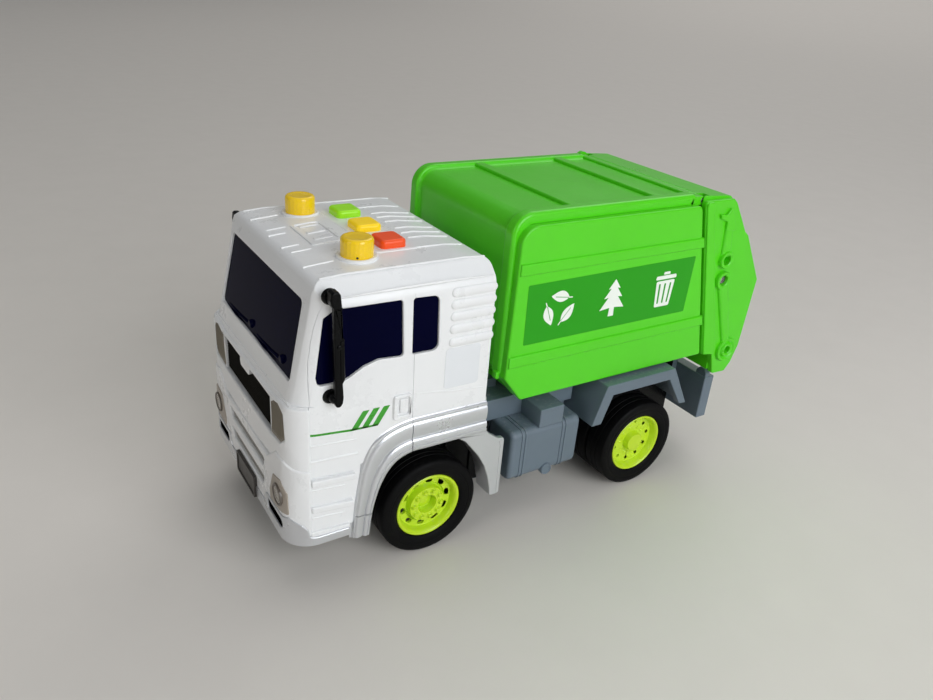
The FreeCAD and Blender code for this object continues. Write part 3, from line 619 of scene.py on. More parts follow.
def groove(path, fn, half=0.18, deep=0.35, out=0.6):
    """A cutting tool for a narrow groove along a path in (u, v) on a surface."""
    bm = bmesh.new()
    pts = [Vector(p) for p in path]
    m = len(pts)
    rows = []
    for i, p in enumerate(pts):
        t = (pts[min(i + 1, m - 1)] - pts[max(i - 1, 0)]).normalized()
        s = Vector((-t.y, t.x))
        rows.append([bm.verts.new((*(p - s * half), out)), bm.verts.new((*(p - s * half * 0.6), -deep)), bm.verts.new((*(p + s * half * 0.6), -deep)), bm.verts.new((*(p + s * half), out))])
    for a, b in zip(rows, rows[1:]):
        for k in range(4):
            j = (k + 1) % 4
            bm.faces.new((a[k], a[j], b[j], b[k]))
    bm.faces.new(rows[0])
    bm.faces.new(list(reversed(rows[-1])))
    for w in bm.verts:
        w.co = Vector(fn(*w.co))
    return tidy(bm)


def screw(centre, out, r=2.0, high=0.7, spin=0.4):
    """A cross-head screw: a low domed head with a cross cut in it. out: the way it faces."""
    prof = [(-1.2, 0.0), (-1.2, r * 0.96), (high * 0.35, r), (high * 0.75, r * 0.86), (high, r * 0.55), (high * 1.06, 0.0)]
    bm = lathe(prof, (0, 0, 0), "X", 28)
    a = cuboid(high * 0.35, high + 1.0, -r * 0.62, r * 0.62, -r * 0.13, r * 0.13, 0.0)
    b = cuboid(high * 0.35, high + 1.0, -r * 0.13, r * 0.13, -r * 0.62, r * 0.62, 0.0)
    bm = boolean(bm, boolean(a, b, "UNION"))
    q = Vector((1, 0, 0)).rotation_difference(Vector(out))
    for v in bm.verts:
        p = v.co.copy()
        y, z = p.y * math.cos(spin) - p.z * math.sin(spin), p.y * math.sin(spin) + p.z * math.cos(spin)
        v.co = q @ Vector((p.x, y, z)) + Vector(centre)
    return tidy(bm)


def lerp_table(table, v):
    if v <= table[0][0]:
        return table[0][1]
    for (a, p), (b, q) in zip(table, table[1:]):
        if v <= b:
            return p + (q - p) * (v - a) / (b - a)
    return table[-1][1]


# ---------------------------------------------------------------- the surfaces that details lie on
CORNER = 10.5
ARC = CORNER * math.pi / 2
RAKE = 7.4 / 36.4


def nose_y(z):
    if z <= 88.0:
        return -66.3
    return -66.3 + (min(z, 98.6) - 88.0) * 2.9 / 10.6 + max(0.0, z - 98.6) * RAKE


def on_nose(u, z, h):
    """u runs round the front of the cab from its middle; h is out from the surface."""
    a, s = abs(u), math.copysign(1.0, u)
    base = -66.3 if z < 93.0 else -63.4 + (z - 98.6) * RAKE
    cap = nose_y(z) - h
    if a <= 44.0:
        return (u, max(cap, base - h), z)
    if a < 44.0 + ARC:
        t = (a - 44.0) / CORNER
        return (s * (44.0 + (CORNER + h) * math.sin(t)), max(cap, base + CORNER - (CORNER + h) * math.cos(t)), z)
    return (s * (54.5 + h), base + CORNER + (a - 44.0 - ARC), z)


NOSE_U = [s * (44.0 + ARC * k / 8) for s in (-1, 1) for k in range(0, 9)]
NOSE_V = [88.0, 90.0]


def cab_side(s):
    return lambda y, z, h: (s * (54.5 - max(0.0, z - 100.0) * 0.3 / 35.5 + h), y, z)


ROOF_Y = [(-52.6, 142.6), (-30.0, 144.6), (8.0, 144.8), (26.0, 142.6)]


def on_roof(x, y, h):
    return (x, y, min(lerp_table(ROOF_Y, y), 145.4 - 1.8 * abs(x) / 46.0) + h)


def on_screen(x, z, h):
    return (x, -62.6 + (z - 97.0) * 8.3 / 41.0 - h * 0.98, z + h * 0.2)


def bin_side(s):
    return lambda y, z, h: (s * (50.5 + h), y, z)


def both(pts):
    """An outline given by its right-hand half, from the top middle round to the low middle, made whole."""
    return pts + [(-u, v) for u, v in reversed(pts) if abs(u) > 1e-6]


# ---------------------------------------------------------------- cab
W, S, K = MAT["cab_white"], MAT["silver_paint"], MAT["black_plastic"]
SIDES = (("left", 1), ("right", -1))

cab = cad("cab_shell")
bevel(cab, 0.45, 3, 28.0, lambda e: not all(abs(v.co.z - 93.0) < 0.1 for v in e.verts))
tools = [
    cuboid(-31.3, 31.3, -72.0, -63.2, 71.4, 88.7, 0.0),
    slab(rounded([(-22.0, 50.0), (-20.8, 48.0), (21.4, 48.0), (24.2, 52.6), (-21.6, 52.6)], 0.8), -1.0, 1.0, 0.0),
    slab(rounded([(-21.6, 41.8), (-18.6, 36.6), (18.6, 36.6), (22.6, 41.8)], 1.0), -1.0, 1.0, 0.0),
]
bend(tools[1], lambda u, v, h: (u, -66.3 - h * 1.3, v))
bend(tools[2], lambda u, v, h: (u, -66.3 - h * 1.5, v))
for s in (1, -1):
    tools.append(groove([(-12.9, 136.9), (-12.6, 120.0), (-12.2, 98.0), (-11.8, 76.8)], cab_side(s), 0.22, 0.42))
    tools.append(groove([(s * 57.2, 72.0), (s * 57.2, 69.0), (s * 57.2, 65.0)], on_nose, 0.2, 0.45, 2.0))
    tools.append(groove([(s * a, b) for a, b in ((57.2, 89.1), (56.2, 94.6), (53.7, 104.6), (52.4, 112.0), (52.1, 119.0), (52.1, 125.0), (52.9, 131.1), (54.4, 136.0))], on_nose, 0.2, 0.4, 1.2))
    for y1, z0, z1 in ((-38.6, 58.1, 56.6), (-39.4, 44.9, 42.9)):
        tools.append(groove([(-58.2, z0 + 1.2), (-50.0, z0 + 1.2 + (z1 - z0) * 8.2 / 19.6), (y1 - 0.6, z1 + 1.1)], cab_side(s), 0.4, 0.5))
for t in tools:
    cab = boolean(cab, t)
make("cab_body", cab, W, "root", 34.0, ("cab_shell",))

# Raised front plate, with the opening for the grille and the lamp panels in it.
PLATE = both([(0, 91.2), (30.0, 90.9), (36.0, 91.4), (44, 92.2), (55.0, 92.6), (58.2, 92.6), (58.2, 62.0), (0, 58.0)])
MOUTH = both([(0, 88.8), (35.0, 88.8), (41.2, 90.0), (46.8, 88.9), (47.5, 76.2), (43.8, 73.0), (32.0, 71.5), (0, 71.5)])
bm = slab(rounded(PLATE, 1.1, 4), -0.4, 1.05, 0.95, 5, holes=[rounded(MOUTH, 1.1, 4)])
bend(bm, on_nose, NOSE_U, NOSE_V)
make("cab_front_plate", bm, W, "root")
# The bumper below it, prouder again, its upper edge dropping from the corners to the middle.
SLOTS = [rounded([(-24.8, 54.0), (-22.6, 49.0), (22.6, 49.0), (24.8, 54.0)], 0.8, 3), rounded([(-24.2, 43.6), (-20.6, 38.4), (20.6, 38.4), (24.2, 43.6)], 0.9, 3)]
SKIN = both([(0, 59.6), (12.6, 59.4), (28.4, 58.2), (39.6, 67.2), (47.0, 66.6), (52.0, 64.2), (55.6, 63.6), (58.2, 63.6), (58.2, 30.2), (48.6, 30.2), (48.6, 36.9), (25.8, 36.9), (25.8, 30.2), (0, 30.2)])
SKIN_R = [0, 4.0, 2.0, 2.4, 2.4, 2.4, 1.4, 1.2, 1.2, 1.2, 1.2, 1.2, 1.2, 0]
bm = slab(rounded(SKIN, SKIN_R + SKIN_R[:0:-1], 4), -0.4, 1.7, 1.0, 5, holes=SLOTS)
bend(bm, on_nose, NOSE_U)
make("cab_bumper_plate", bm, W, "root")
# Grey sheets at the back of the two bumper slots: painted shadow of the white plastic inside them.
parts = [bend(slab([(-26.0, 47.8), (26.0, 47.8), (26.0, 55.0), (-26.0, 55.0)], -0.6, 0.15, 0.0), on_nose), bend(slab([(-26.0, 37.4), (26.0, 37.4), (26.0, 44.6), (-26.0, 44.6)], -0.6, 0.15, 0.0), on_nose)]
make("bumper_slot_painted_shadow", join(*parts), EXTRA["shadow_grey"], "root")

# Grille: a backing and thin slats.
bm = cuboid(-32.4, 32.4, -64.6, -62.8, 70.4, 89.6, 0.2)
parts = [bm]
for k in range(13):
    z = 72.4 + 1.28 * k
    parts.append(tube([(-31.6, -64.9, z), (31.6, -64.9, z)], 0.46, 10))
make("grille_slats", join(*parts), MAT["grille_dark"], "root", 40.0, ("grille",))
bm = slab(rounded([(-7.2, 90.2), (7.2, 90.2), (5.4, 85.4), (-5.4, 85.4)], 0.9, 3), -2.0, 0.75, 0.35, 3)
make("grille_tab", bend(bm, on_nose, (), NOSE_V), W, "root")

for side, s in SIDES:
    # Ribbed grey panel beside the grille.
    bm = slab(rounded([(s * 32.2, 72.0), (s * 34.9, 88.5), (s * 41.2, 89.7), (s * 46.5, 88.6), (s * 47.2, 76.3), (s * 43.7, 73.3)], 0.7, 3), -0.4, 0.3, 0.25)
    bend(bm, on_nose, NOSE_U, NOSE_V)
    parts = [bm]
    for k in range(9):
        u = 34.2 + 1.45 * k
        top = 87.6 if u < 36 else (88.9 if u < 45 else 87.8)
        parts.append(pill(73.6 + (0.6 if u < 38 else 0.9) + max(0.0, u - 43.5) * 0.9, top, s * u, 0.32, 0.3, lambda a, b, h: on_nose(b, a, h + 0.25), 5, NOSE_V))
    make("lamp_panel_face_" + side, join(*parts), MAT["lamp_clear"], "root", 40.0, ("lamp_panel_" + side,))
    # Headlamp: a five-sided panel with a ringed lens.
    bm = slab(rounded([(s * 36.6, 53.9), (s * 45.0, 56.0), (s * 49.2, 51.2), (s * 49.6, 40.6), (s * 43.9, 39.6), (s * 32.6, 38.4), (s * 31.9, 42.9)], 0.9, 3), -0.4, 2.1, 0.35, 3)
    bend(bm, on_nose, NOSE_U)
    make("headlamp_panel_" + side, bm, EXTRA["beige"], "root", 40.0, ("headlamp_" + side,))
    make("headlamp_ring_" + side, lathe([(0.4, 4.2), (0.4, 5.1), (-0.75, 5.05), (-0.95, 4.8), (-0.95, 4.4), (-0.7, 4.2)], (s * 42.4, -68.1, 47.0), "Y", 48), EXTRA["ring"], "root", 30.0)
    prof = [(-0.4, 0.0), (-0.4, 4.25), (0.45, 4.2), (0.6, 3.9), (0.5, 3.5), (0.45, 3.2), (0.7, 2.9), (0.7, 2.6), (0.5, 2.3), (0.6, 1.2), (0.66, 0.0)]
    make("headlamp_lens_" + side, lathe([(-a, r) for a, r in prof], (s * 42.4, -68.1, 47.0), "Y", 48), EXTRA["lens"], "root", 30.0)
    # Fog slot: a black cup with round ends, let into the lip.
    cup = rounded([(s * 27.7, 30.6), (s * 46.3, 30.6), (s * 46.3, 36.4), (s * 27.7, 36.4)], 2.5, 6)
    well = rounded([(s * 28.3, 31.2), (s * 45.7, 31.2), (s * 45.7, 35.8), (s * 28.3, 35.8)], 1.9, 6)
    parts = [bend(slab(cup, -0.4, 1.5, 0.2, 2, holes=[well]), on_nose, NOSE_U), bend(slab(cup, -0.6, 0.0, 0.0), on_nose, NOSE_U)]
    for k in range(6):
        parts.append(pill(30.9, 36.1, s * (30.6 + 2.6 * k), 0.4, 0.4, lambda a, b, h: on_nose(b, a, h), 5))
    make("fog_slot_" + side, join(*parts), K, "root")

# Silver lip under the nose.
LIP = both([(0, 31.6), (23.8, 31.8), (25.2, 33.4), (25.5, 36.6), (27.2, 38.0), (46.0, 38.2), (49.4, 39.4), (52.0, 38.2), (55.0, 36.7), (56.8, 34.4), (57.6, 30.6), (60.0, 29.9), (75.2, 29.9), (75.2, 25.6), (0, 25.6)])
FOG = [rounded([(s * 28.2, 31.0), (s * 46.0, 31.0), (s * 46.0, 36.1), (s * 28.2, 36.1)], 2.2, 6) for s in (1, -1)]
bm = slab(rounded(LIP, 1.0, 4), -1.6, 2.2, 0.55, 4, holes=FOG)
bend(bm, on_nose, NOSE_U + [s * u for s in (1, -1) for u in (63.0, 68.0)])
make("bumper_lip", bm, S, "root", 38.0, ("front_bumper",))
# Blank plate on its bracket.
parts = [slab(rounded([(-13.0, 25.0), (13.0, 25.0), (13.0, 36.6), (-13.0, 36.6)], 1.2, 4), 1.9, 2.8, 0.3, 3), slab(rounded([(-13.0, 25.0), (13.0, 25.0), (13.0, 36.6), (-13.0, 36.6)], 1.2, 4), 2.6, 3.3, 0.25, 3, holes=[rounded([(-11.9, 26.1), (11.9, 26.1), (11.9, 35.5), (-11.9, 35.5)], 0.8, 4)])]
bm = bend(join(*parts), lambda u, v, h: (u, -66.3 - h, v))
make("plate_plain", bm, MAT["plate_blank"], "root", 38.0, ("number_plate",))
make("plate_bracket", cuboid(-11.0, 11.0, -68.3, -66.0, 26.2, 35.6, 0.4), S, "root")

# Cab sides.
for side, s in SIDES:
    fn = cab_side(s)
    parts = [pill(4.0, 26.5, z, 2.15, 0.95, fn, 10, (), 0.0, -0.5) for z in (132.1, 126.7, 121.3, 115.5, 109.5)]
    make("cab_vent_ribs_" + side, join(*parts), W, "root", 50.0)
    # Steps between the corner and the wheel arch: two heavy treads, fine lines between, and a sill.
    parts = []
    for y1, z0, z1 in ((-38.6, 58.1, 56.6), (-39.4, 44.9, 42.9)):
        tread = [(-58.3, z0 - 2.5), (y1, z1 - 2.3), (y1, z1 + 0.5), (-58.3, z0 + 0.6)]
        parts.append(bend(slab(rounded(tread, 0.7, 4), -0.4, 1.9, 0.6, 4), fn))
        parts.append(bend(slab([(-58.3, z0 - 13.2), (-43.3, z1 - 12.6), (-43.3, z1 - 2.0), (-58.3, z0 - 2.2)], -0.4, 0.3, 0.15, 2), fn))
    for (ya, za), (yb, zb), half, high in (((-58.3, 75.0), (-38.0, 73.3), 0.5, 0.3), ((-58.3, 67.4), (-37.4, 66.2), 0.7, 0.5), ((-58.3, 53.4), (-43.4, 52.0), 0.5, 0.7), ((-58.3, 39.3), (-43.4, 37.7), 0.5, 0.7)):
        parts.append(bead([(ya, za), (yb, zb)], fn, half, high, 8, -0.4, False))
    sill = [(-58.8, 29.9), (-40.8, 28.9), (-40.8, 31.2), (-58.8, 32.4)]
    parts.append(bend(slab(rounded(sill, 0.6, 4), -0.4, 1.5, 0.5, 4), fn))
    make("cab_side_steps_" + side, join(*parts), W, "root", 40.0)
    # Two soft drip lines under the roof edge, and a crease below the window.
    parts = [
        bead([(-46.0, 137.4), (-20.0, 137.7), (4.0, 137.7), (25.0, 137.2)], lambda y, z, h: (s * (54.0 + h), y, z), 0.6, 0.45),
        bead([(-43.4, 93.4), (-30.2, 92.2)], fn, 0.45, 0.22),
        bead([(-11.0, 88.6), (8.0, 85.6), (25.2, 83.8)], fn, 0.7, 0.22),
    ]
    make("cab_side_lines_" + side, join(*parts), W, "root", 50.0)
    # Door handle: a thick bar and a square cup beside it.
    bm = slab(rounded([(-21.4, 78.0), (-12.9, 78.2), (-12.9, 89.7), (-21.4, 89.9)], 1.4, 5), -0.4, 1.25, 0.5, 4, holes=[rounded([(-19.6, 79.9), (-13.9, 79.9), (-13.9, 88.3), (-19.6, 88.4)], 0.8, 4)])
    parts = [bend(bm, fn)]
    parts.append(bend(slab(rounded([(-18.4, 81.0), (-14.5, 80.9), (-14.5, 87.4), (-18.4, 87.6)], 0.6, 4), -0.4, 0.95, 0.4, 3), fn))
    make("door_handle_" + side, join(*parts), W, "root", 40.0)
    # Printed stripes and underline, and a blank sticker.
    parts = []
    for (a, b), (c, d), w in (((-40.6, 77.9), (-35.2, 86.0), 2.9), ((-35.9, 77.6), (-30.4, 86.1), 2.9), ((-31.1, 77.5), (-25.7, 86.0), 2.9)):
        parts.append(bend(slab([(a, b), (a + w, b - 0.1), (c + w, d - 0.1), (c, d)], -0.05, 0.07, 0.0), fn))
    parts.append(bend(slab([(-55.6, 79.3), (-40.4, 77.7), (-28.4, 77.3), (-28.0, 78.1), (-40.4, 78.7), (-55.6, 80.3)], -0.05, 0.07, 0.0), fn))
    parts.append(bend(slab([(s * 58.25, 79.6), (s * 60.7, 79.3), (s * 60.7, 80.3), (s * 58.25, 80.6)], -0.05, 0.07, 0.0), on_nose, NOSE_U))
    make("door_stripes_" + side, join(*parts), EXTRA["stripe"], "root")
    bm = slab(rounded([(3.0, 87.3), (20.4, 87.3), (20.4, 106.7), (3.0, 106.7)], 1.6, 5), -0.1, 0.07, 0.03, 1)
    make("side_sticker_plain_" + side, bend(bm, fn), EXTRA["sticker"], "root")

# Roof: thin lengthwise ribs, a framed panel with three bars, and a low step under the buttons.
parts = []
for s in (1, -1):
    for x, y0, y1 in ((8.0, -51.5, -43.5), (15.0, -50.0, -41.0), (32.0, -51.5, -38.5), (18.5, 1.6, 22.0), (12.0, 1.6, 22.0), (30.0, -18.5, 22.5), (5.0, 2.2, 22.0)):
        parts.append(pill(y0, y1, s * x, 0.5, 0.42, lambda a, b, h: on_roof(b, a, h), 6, (-40.0, -30.0, -20.0, -8.0, 8.0, 14.0)))
    parts.append(pill(-50.5, 24.5, s * 45.6, 0.75, 0.35, lambda a, b, h: on_roof(b, a, h), 6, (-40.0, -30.0, -20.0, -8.0, 8.0, 14.0)))
bm = slab(rounded([(-16.0, -39.4), (12.6, -39.4), (12.6, -24.9), (-16.0, -24.9)], 2.2, 5), -0.4, 0.5, 0.35, 3, holes=[rounded([(-14.0, -37.8), (8.8, -37.8), (8.8, -26.5), (-14.0, -26.5)], 1.2, 4)])
parts.append(bend(bm, on_roof, (0.0,), (-30.0,)))
for x, half in ((-11.6, 1.1), (-2.6, 1.2), (5.6, 1.2)):
    parts.append(bend(slab(rounded([(x - half, -36.2), (x + half, -36.2), (x + half, -27.8), (x - half, -27.8)], 0.6, 3), -0.4, 0.35, 0.25), on_roof, (), (-30.0,)))
bm = slab(rounded([(-31.0, -19.6), (31.0, -19.6), (31.0, 0.8), (-31.0, 0.8)], 2.0, 4), -0.4, 0.3, 0.22)
parts.append(bend(bm, on_roof, (0.0,), (-8.0,)))
make("roof_ribs", join(*parts), W, "root", 40.0)

# Beacons and their base rings.
for side, s in SIDES:
    n = 96
    bm = bmesh.new()
    rows = []
    for z, r, f in ((140.6, 6.75, 0.0), (144.6, 6.75, 1.0), (151.0, 6.85, 1.0), (151.9, 6.7, 0.8), (152.5, 6.2, 0.3), (152.8, 5.5, 0.0), (152.6, 4.6, 0.0), (152.45, 2.4, 0.0)):
        rows.append([bm.verts.new((s * 31.2 + (r - 0.14 * f * (0.5 - 0.5 * math.cos(24 * 2 * math.pi * k / n))) * math.cos(2 * math.pi * k / n), -28.0 + (r - 0.14 * f * (0.5 - 0.5 * math.cos(24 * 2 * math.pi * k / n))) * math.sin(2 * math.pi * k / n), z)) for k in range(n)])
    for p, q in zip(rows, rows[1:]):
        for k in range(n):
            j = (k + 1) % n
            bm.faces.new((p[k], p[j], q[j], q[k]))
    bm.faces.new(rows[0])
    bm.faces.new(list(reversed(rows[-1])))
    tidy(bm)
    make("beacon_body_" + side, bm, MAT["beacon_amber"], "root", 40.0, ("beacon_" + side,))
    prof = [(141.0, 0.0), (141.0, 8.6), (144.75, 8.6), (145.1, 8.3), (145.2, 7.8), (145.1, 7.3), (144.85, 7.0), (144.6, 0.0)]
    make("beacon_ring_" + side, lathe(prof, (s * 31.2, -28.0, 0.0), "Z", 64), W, "root", 40.0)
    if s > 0:
        # A dark disc: painted shade in a small hole in the beacon ring.
        make("beacon_hole_" + side, lathe([(-0.5, 0.0), (-0.5, 0.5), (0.0, 0.45), (0.05, 0.0)], (s * 31.2 + 6.35, -30.6, 145.7), "X", 16), EXTRA["hole"], "root")

# Buttons: soft pads.
for colour, bx, by in (("green", -21.5, -10.0), ("yellow", 0.4, -10.4), ("red", 22.3, -9.6)):
    sq = [(bx - 6.3, by - 6.0), (bx + 6.3, by - 6.0), (bx + 6.3, by + 6.0), (bx - 6.3, by + 6.0)]
    bm = slab(rounded(sq, 2.4, 6), 142.0, 148.1, 1.5, 6)
    make("button_pad_" + colour, bm, MAT["button_" + colour], "root", 50.0, ("button_" + colour,))

# Windows.
for node in ("windscreen", "side_windows_left", "side_windows_right"):
    bm = cad(node)
    bevel(bm, 0.2, 2, 28.0)
    make(node + "_glass", bm, MAT["window_navy"], "root", 30.0, (node,))
parts = []
for px, pz in ((-5.4, 104.6), (33.0, 105.2)):
    boss = lathe([(0.6, 0.0), (0.6, 2.0), (-0.7, 1.9), (-1.1, 1.5), (-1.2, 0.0)], (px, on_screen(px, pz, 0)[1], pz), "Y", 24)
    parts.append(boss)
    parts.append(bead([(px, pz), (px - 3.0, pz - 0.9), (px - 14.0, pz - 2.0), (px - 31.0, pz - 2.2)], on_screen, 0.6, 0.95))
    parts.append(bead([(px - 6.0, pz - 3.2), (px - 20.0, pz - 3.7), (px - 35.0, pz - 3.6)], on_screen, 0.5, 0.75))
make("wipers", join(*parts), MAT["window_navy"], "root", 40.0)
NODES["cab_interior"].data.materials.clear()

# Mirrors: a flat bar with a squared head and a rounded foot, each on a short arm.
BLOCK = [(-51.2, 142.2), (-50.3, 142.9), (-48.3, 142.7), (-47.4, 141.3), (-47.1, 138.2), (-46.8, 135.0), (-49.9, 135.4), (-51.2, 137.4), (-51.6, 139.3)]
BAR = [(-50.0, 136.4), (-46.9, 136.2), (-46.4, 131.2), (-46.3, 124.2), (-45.7, 122.6), (-45.3, 105.6), (-46.3, 103.8), (-45.9, 97.6), (-46.2, 95.0), (-47.3, 93.4), (-49.0, 93.6), (-49.6, 95.4), (-49.5, 97.5), (-49.6, 104.7), (-50.0, 119.4)]
for side, s in SIDES:
    drop_by = 0.0 if s > 0 else 3.8
    parts = [solid(rounded([(a, b - drop_by) for a, b in BLOCK], [0.7, 0.7, 0.7, 0.7, 0.5, 0.3, 0.4, 0.8, 0.8], 4), "YZ", *sorted((s * 55.6, s * 60.4)), 0.8, 4)]
    parts.append(solid(rounded(BAR, [0.3, 0.3, 0.8, 0.6, 0.6, 0.8, 0.8, 0.8, 1.0, 1.2, 1.2, 1.0, 0.6, 0.6, 0.6], 4), "YZ", *sorted((s * 57.0, s * 59.9)), 0.7, 4))
    parts.append(solid(rounded([(-47.6, 122.4), (-46.1, 122.4), (-45.7, 105.8), (-47.4, 105.6)], 0.4, 3), "YZ", *sorted((s * 57.6, s * 60.3)), 0.3, 3))
    for z, r, x in ((139.0 - drop_by, 2.3, 53.4), (96.6, 2.0, 53.6)):
        parts.append(tube([(s * 58.0, -48.9, z), (s * 56.4, -49.0, z), (s * x, -49.6, z)], r, 20))
    for z in (139.0 - drop_by, 96.6):
        parts.append(lathe([(53.8, 0.0), (53.8, 3.2), (54.9, 3.2), (55.5, 2.7), (55.6, 0.0)], (0, -49.6, z), "X", 28, s))
    parts.append(lathe([(-0.3, 0.0), (-0.3, 1.0), (0.3, 1.0), (0.5, 0.7), (0.55, 0.0)], (s * 59.9, -47.9, 120.0), "X", 16, s))
    make("mirror_bar_" + side, join(*parts), K, "root", 40.0, ("mirror_" + side,))

# ---------------------------------------------------------------- front wheel arches
INNER = [(-31.7, 22.0), (-30.4, 33.7), (-28.5, 41.8), (-26.0, 48.5), (-22.5, 54.3), (-18.0, 58.2), (-11.5, 60.2), (-4.0, 60.2), (4.0, 60.2), (12.0, 60.2), (19.0, 60.2), (26.7, 60.2)]
OUTER = [(-39.7, 22.0), (-39.0, 34.0), (-37.8, 45.5), (-35.6, 58.0), (-31.3, 67.8), (-24.5, 73.4), (-15.0, 76.1), (-7.0, 76.4), (2.0, 76.3), (11.0, 76.2), (19.0, 76.1), (26.5, 76.0)]
PROFILE = [(1.12, -0.6), (1.12, -0.4), (1.0, -0.3), (1.0, 0.05), (0.97, 0.3), (0.955, 0.72), (0.93, 0.86), (0.90, 0.84), (0.875, 0.75), (0.83, 1.2), (0.79, 1.4), (0.74, 1.5), (0.66, 1.52), (0.57, 1.42), (0.45, 1.2), (0.425, 1.05), (0.41, 0.75), (0.385, 0.75), (0.37, 1.1), (0.345, 1.5), (0.30, 1.78), (0.24, 1.88), (0.19, 1.86), (0.178, 1.5), (0.152, 1.5), (0.14, 1.86), (0.09, 1.88), (0.05, 1.8), (0.015, 1.6), (0.0, 1.3)]


def fender(s):
    a = smooth_path([(y, z, 0) for y, z in INNER], 5)
    b = smooth_path([(y, z, 0) for y, z in OUTER], 5)
    bm = bmesh.new()
    rows = []
    for p, q in zip(a, b):
        wide = (q - p).length
        ring = [(p.lerp(q, t), h) for t, h in PROFILE]
        ring += [(p, -10.3), (p.lerp(q, 1.9 / wide), -10.3), (p.lerp(q, 1.9 / wide), -0.5)]
        rows.append([bm.verts.new((s * (54.5 + h), c.x, c.y)) for c, h in ring])
    n = len(rows[0])
    for p, q in zip(rows, rows[1:]):
        for k in range(n):
            j = (k + 1) % n
            bm.faces.new((p[k], p[j], q[j], q[k]))
    bm.faces.new(rows[0])
    bm.faces.new(list(reversed(rows[-1])))
    tidy(bm)
    side = cab_side(s)
    bm = boolean(bm, groove([(-11.9, 78.0), (-11.9, 58.0)], side, 0.28, -0.3, 3.0))
    bm = boolean(bm, groove([(-42.0, 33.6), (-28.0, 33.2)], side, 0.28, -0.3, 3.0))
    flap = [(9.0, 60.25), (12.0, 60.2), (15.9, 57.4), (19.3, 53.2), (23.7, 47.5), (27.7, 40.6), (30.1, 34.1), (32.1, 25.8), (32.6, 21.8), (37.8, 21.8), (37.8, 54.0), (34.4, 54.6), (28.6, 58.8), (26.7, 61.2), (9.0, 61.2)]
    plate = bend(slab(rounded(flap, [0, 0, 0, 0, 0, 0, 0, 0, 0.8, 1.2, 1.4, 1.2, 1.2, 0, 0], 4), -0.5, 1.6, 0.55, 3), side)
    rib = bend(slab(rounded([(34.6, 53.6), (37.6, 53.2), (37.6, 22.4), (35.9, 22.4), (35.6, 50.0)], 0.6, 3), 1.2, 1.88, 0.3), side)
    rear = [(12.0, 60.2), (15.9, 57.4), (19.3, 53.2), (23.7, 47.5), (27.7, 40.6), (30.1, 34.1), (32.1, 25.8), (32.6, 21.8)]
    liner = slab(rear + [(y + 1.7, z + 0.9) for y, z in reversed(rear)], -10.3, -0.3, 0.0)
    return join(bm, plate, rib, bend(liner, side))


for side, s in SIDES:
    make("fender_" + side, fender(s), S, "root", 38.0, ("front_fender_" + side,))


# ---------------------------------------------------------------- refuse body
G = MAT["body_green"]


def sweep(path, section, ends=True):
    """Carries a section (x, depth below the outer line) along a path (y, z) with mitred turns."""
    bm = bmesh.new()
    rows = []
    m = len(path)
    for i, (y, z) in enumerate(path):
        dirs = []
        if i > 0:
            dirs.append((Vector((y, z)) - Vector(path[i - 1])).normalized())
        if i < m - 1:
            dirs.append((Vector(path[i + 1]) - Vector((y, z))).normalized())
        t = (dirs[0] + dirs[-1]).normalized()
        k = 1.0 / max(0.5, t.dot(dirs[0]))
        n = Vector((t.y, -t.x)) * k
        rows.append([bm.verts.new((x, y + n.x * d, z + n.y * d)) for x, d in section])
    for p, q in zip(rows, rows[1:]):
        for k in range(len(p)):
            j = (k + 1) % len(p)
            bm.faces.new((p[k], p[j], q[j], q[k]))
    if ends:
        bm.faces.new(rows[0])
        bm.faces.new(list(reversed(rows[-1])))
    return tidy(bm)


def arc_path(pts, radii, n=10):
    """An open path with its corners rounded."""
    out = [pts[0]]
    for i in range(1, len(pts) - 1):
        r = radii.get(i, 0.0)
        if r <= 0:
            out.append(pts[i])
            continue
        tri = rounded([pts[i - 1], pts[i], pts[i + 1]], [0, r, 0], n)
        out += tri[1:-1]
    out.append(pts[-1])
    return out


mid_path = arc_path([(50.1, 68.5), (37.6, 83.0), (37.6, 159.8), (149.9, 159.8)], {1: 3.0, 2: 10.6}, 12)
rail_path = arc_path([(49.2, 68.5), (37.6, 83.0), (37.6, 159.8), (146.2, 159.8), (148.9, 158.2)], {1: 3.0, 2: 10.6, 3: 1.5}, 12)
hollow_path = arc_path([(49.4, 68.5), (37.6, 83.0), (37.6, 159.8), (145.4, 159.8)], {1: 3.0, 2: 10.6}, 12)
parts = [sweep(mid_path, [(-46.3, 2.0), (-40.6, 2.0), (0.0, 2.0), (40.6, 2.0), (46.3, 2.0), (46.3, 4.4), (-46.3, 4.4)])]
for s in (1, -1):
    sec = rounded([(s * 39.9, 2.6), (s * 39.9, 0.0), (s * 46.6, 0.0), (s * 46.6, 4.9)], [0, 1.5, 1.9, 0], 5)
    parts.append(sweep(rail_path, sec))
    # The soft hollow along the inside of each rail.
    sec = [(s * 38.2, 2.1), (s * 38.5, 1.92), (s * 39.3, 1.7), (s * 39.95, 1.1), (s * 40.3, 2.1)]
    parts.append(sweep(hollow_path, sec))
for y0, y1, z in ((72.2, 78.0, 159.5), (124.4, 130.4, 159.5), (146.0, 150.0, 159.2)):
    parts.append(cuboid(-40.6, 40.6, y0, y1, 156.4, z, 0.85, 4))
make("bin_shell", join(*parts), G, "container", 40.0, ("refuse_body",))

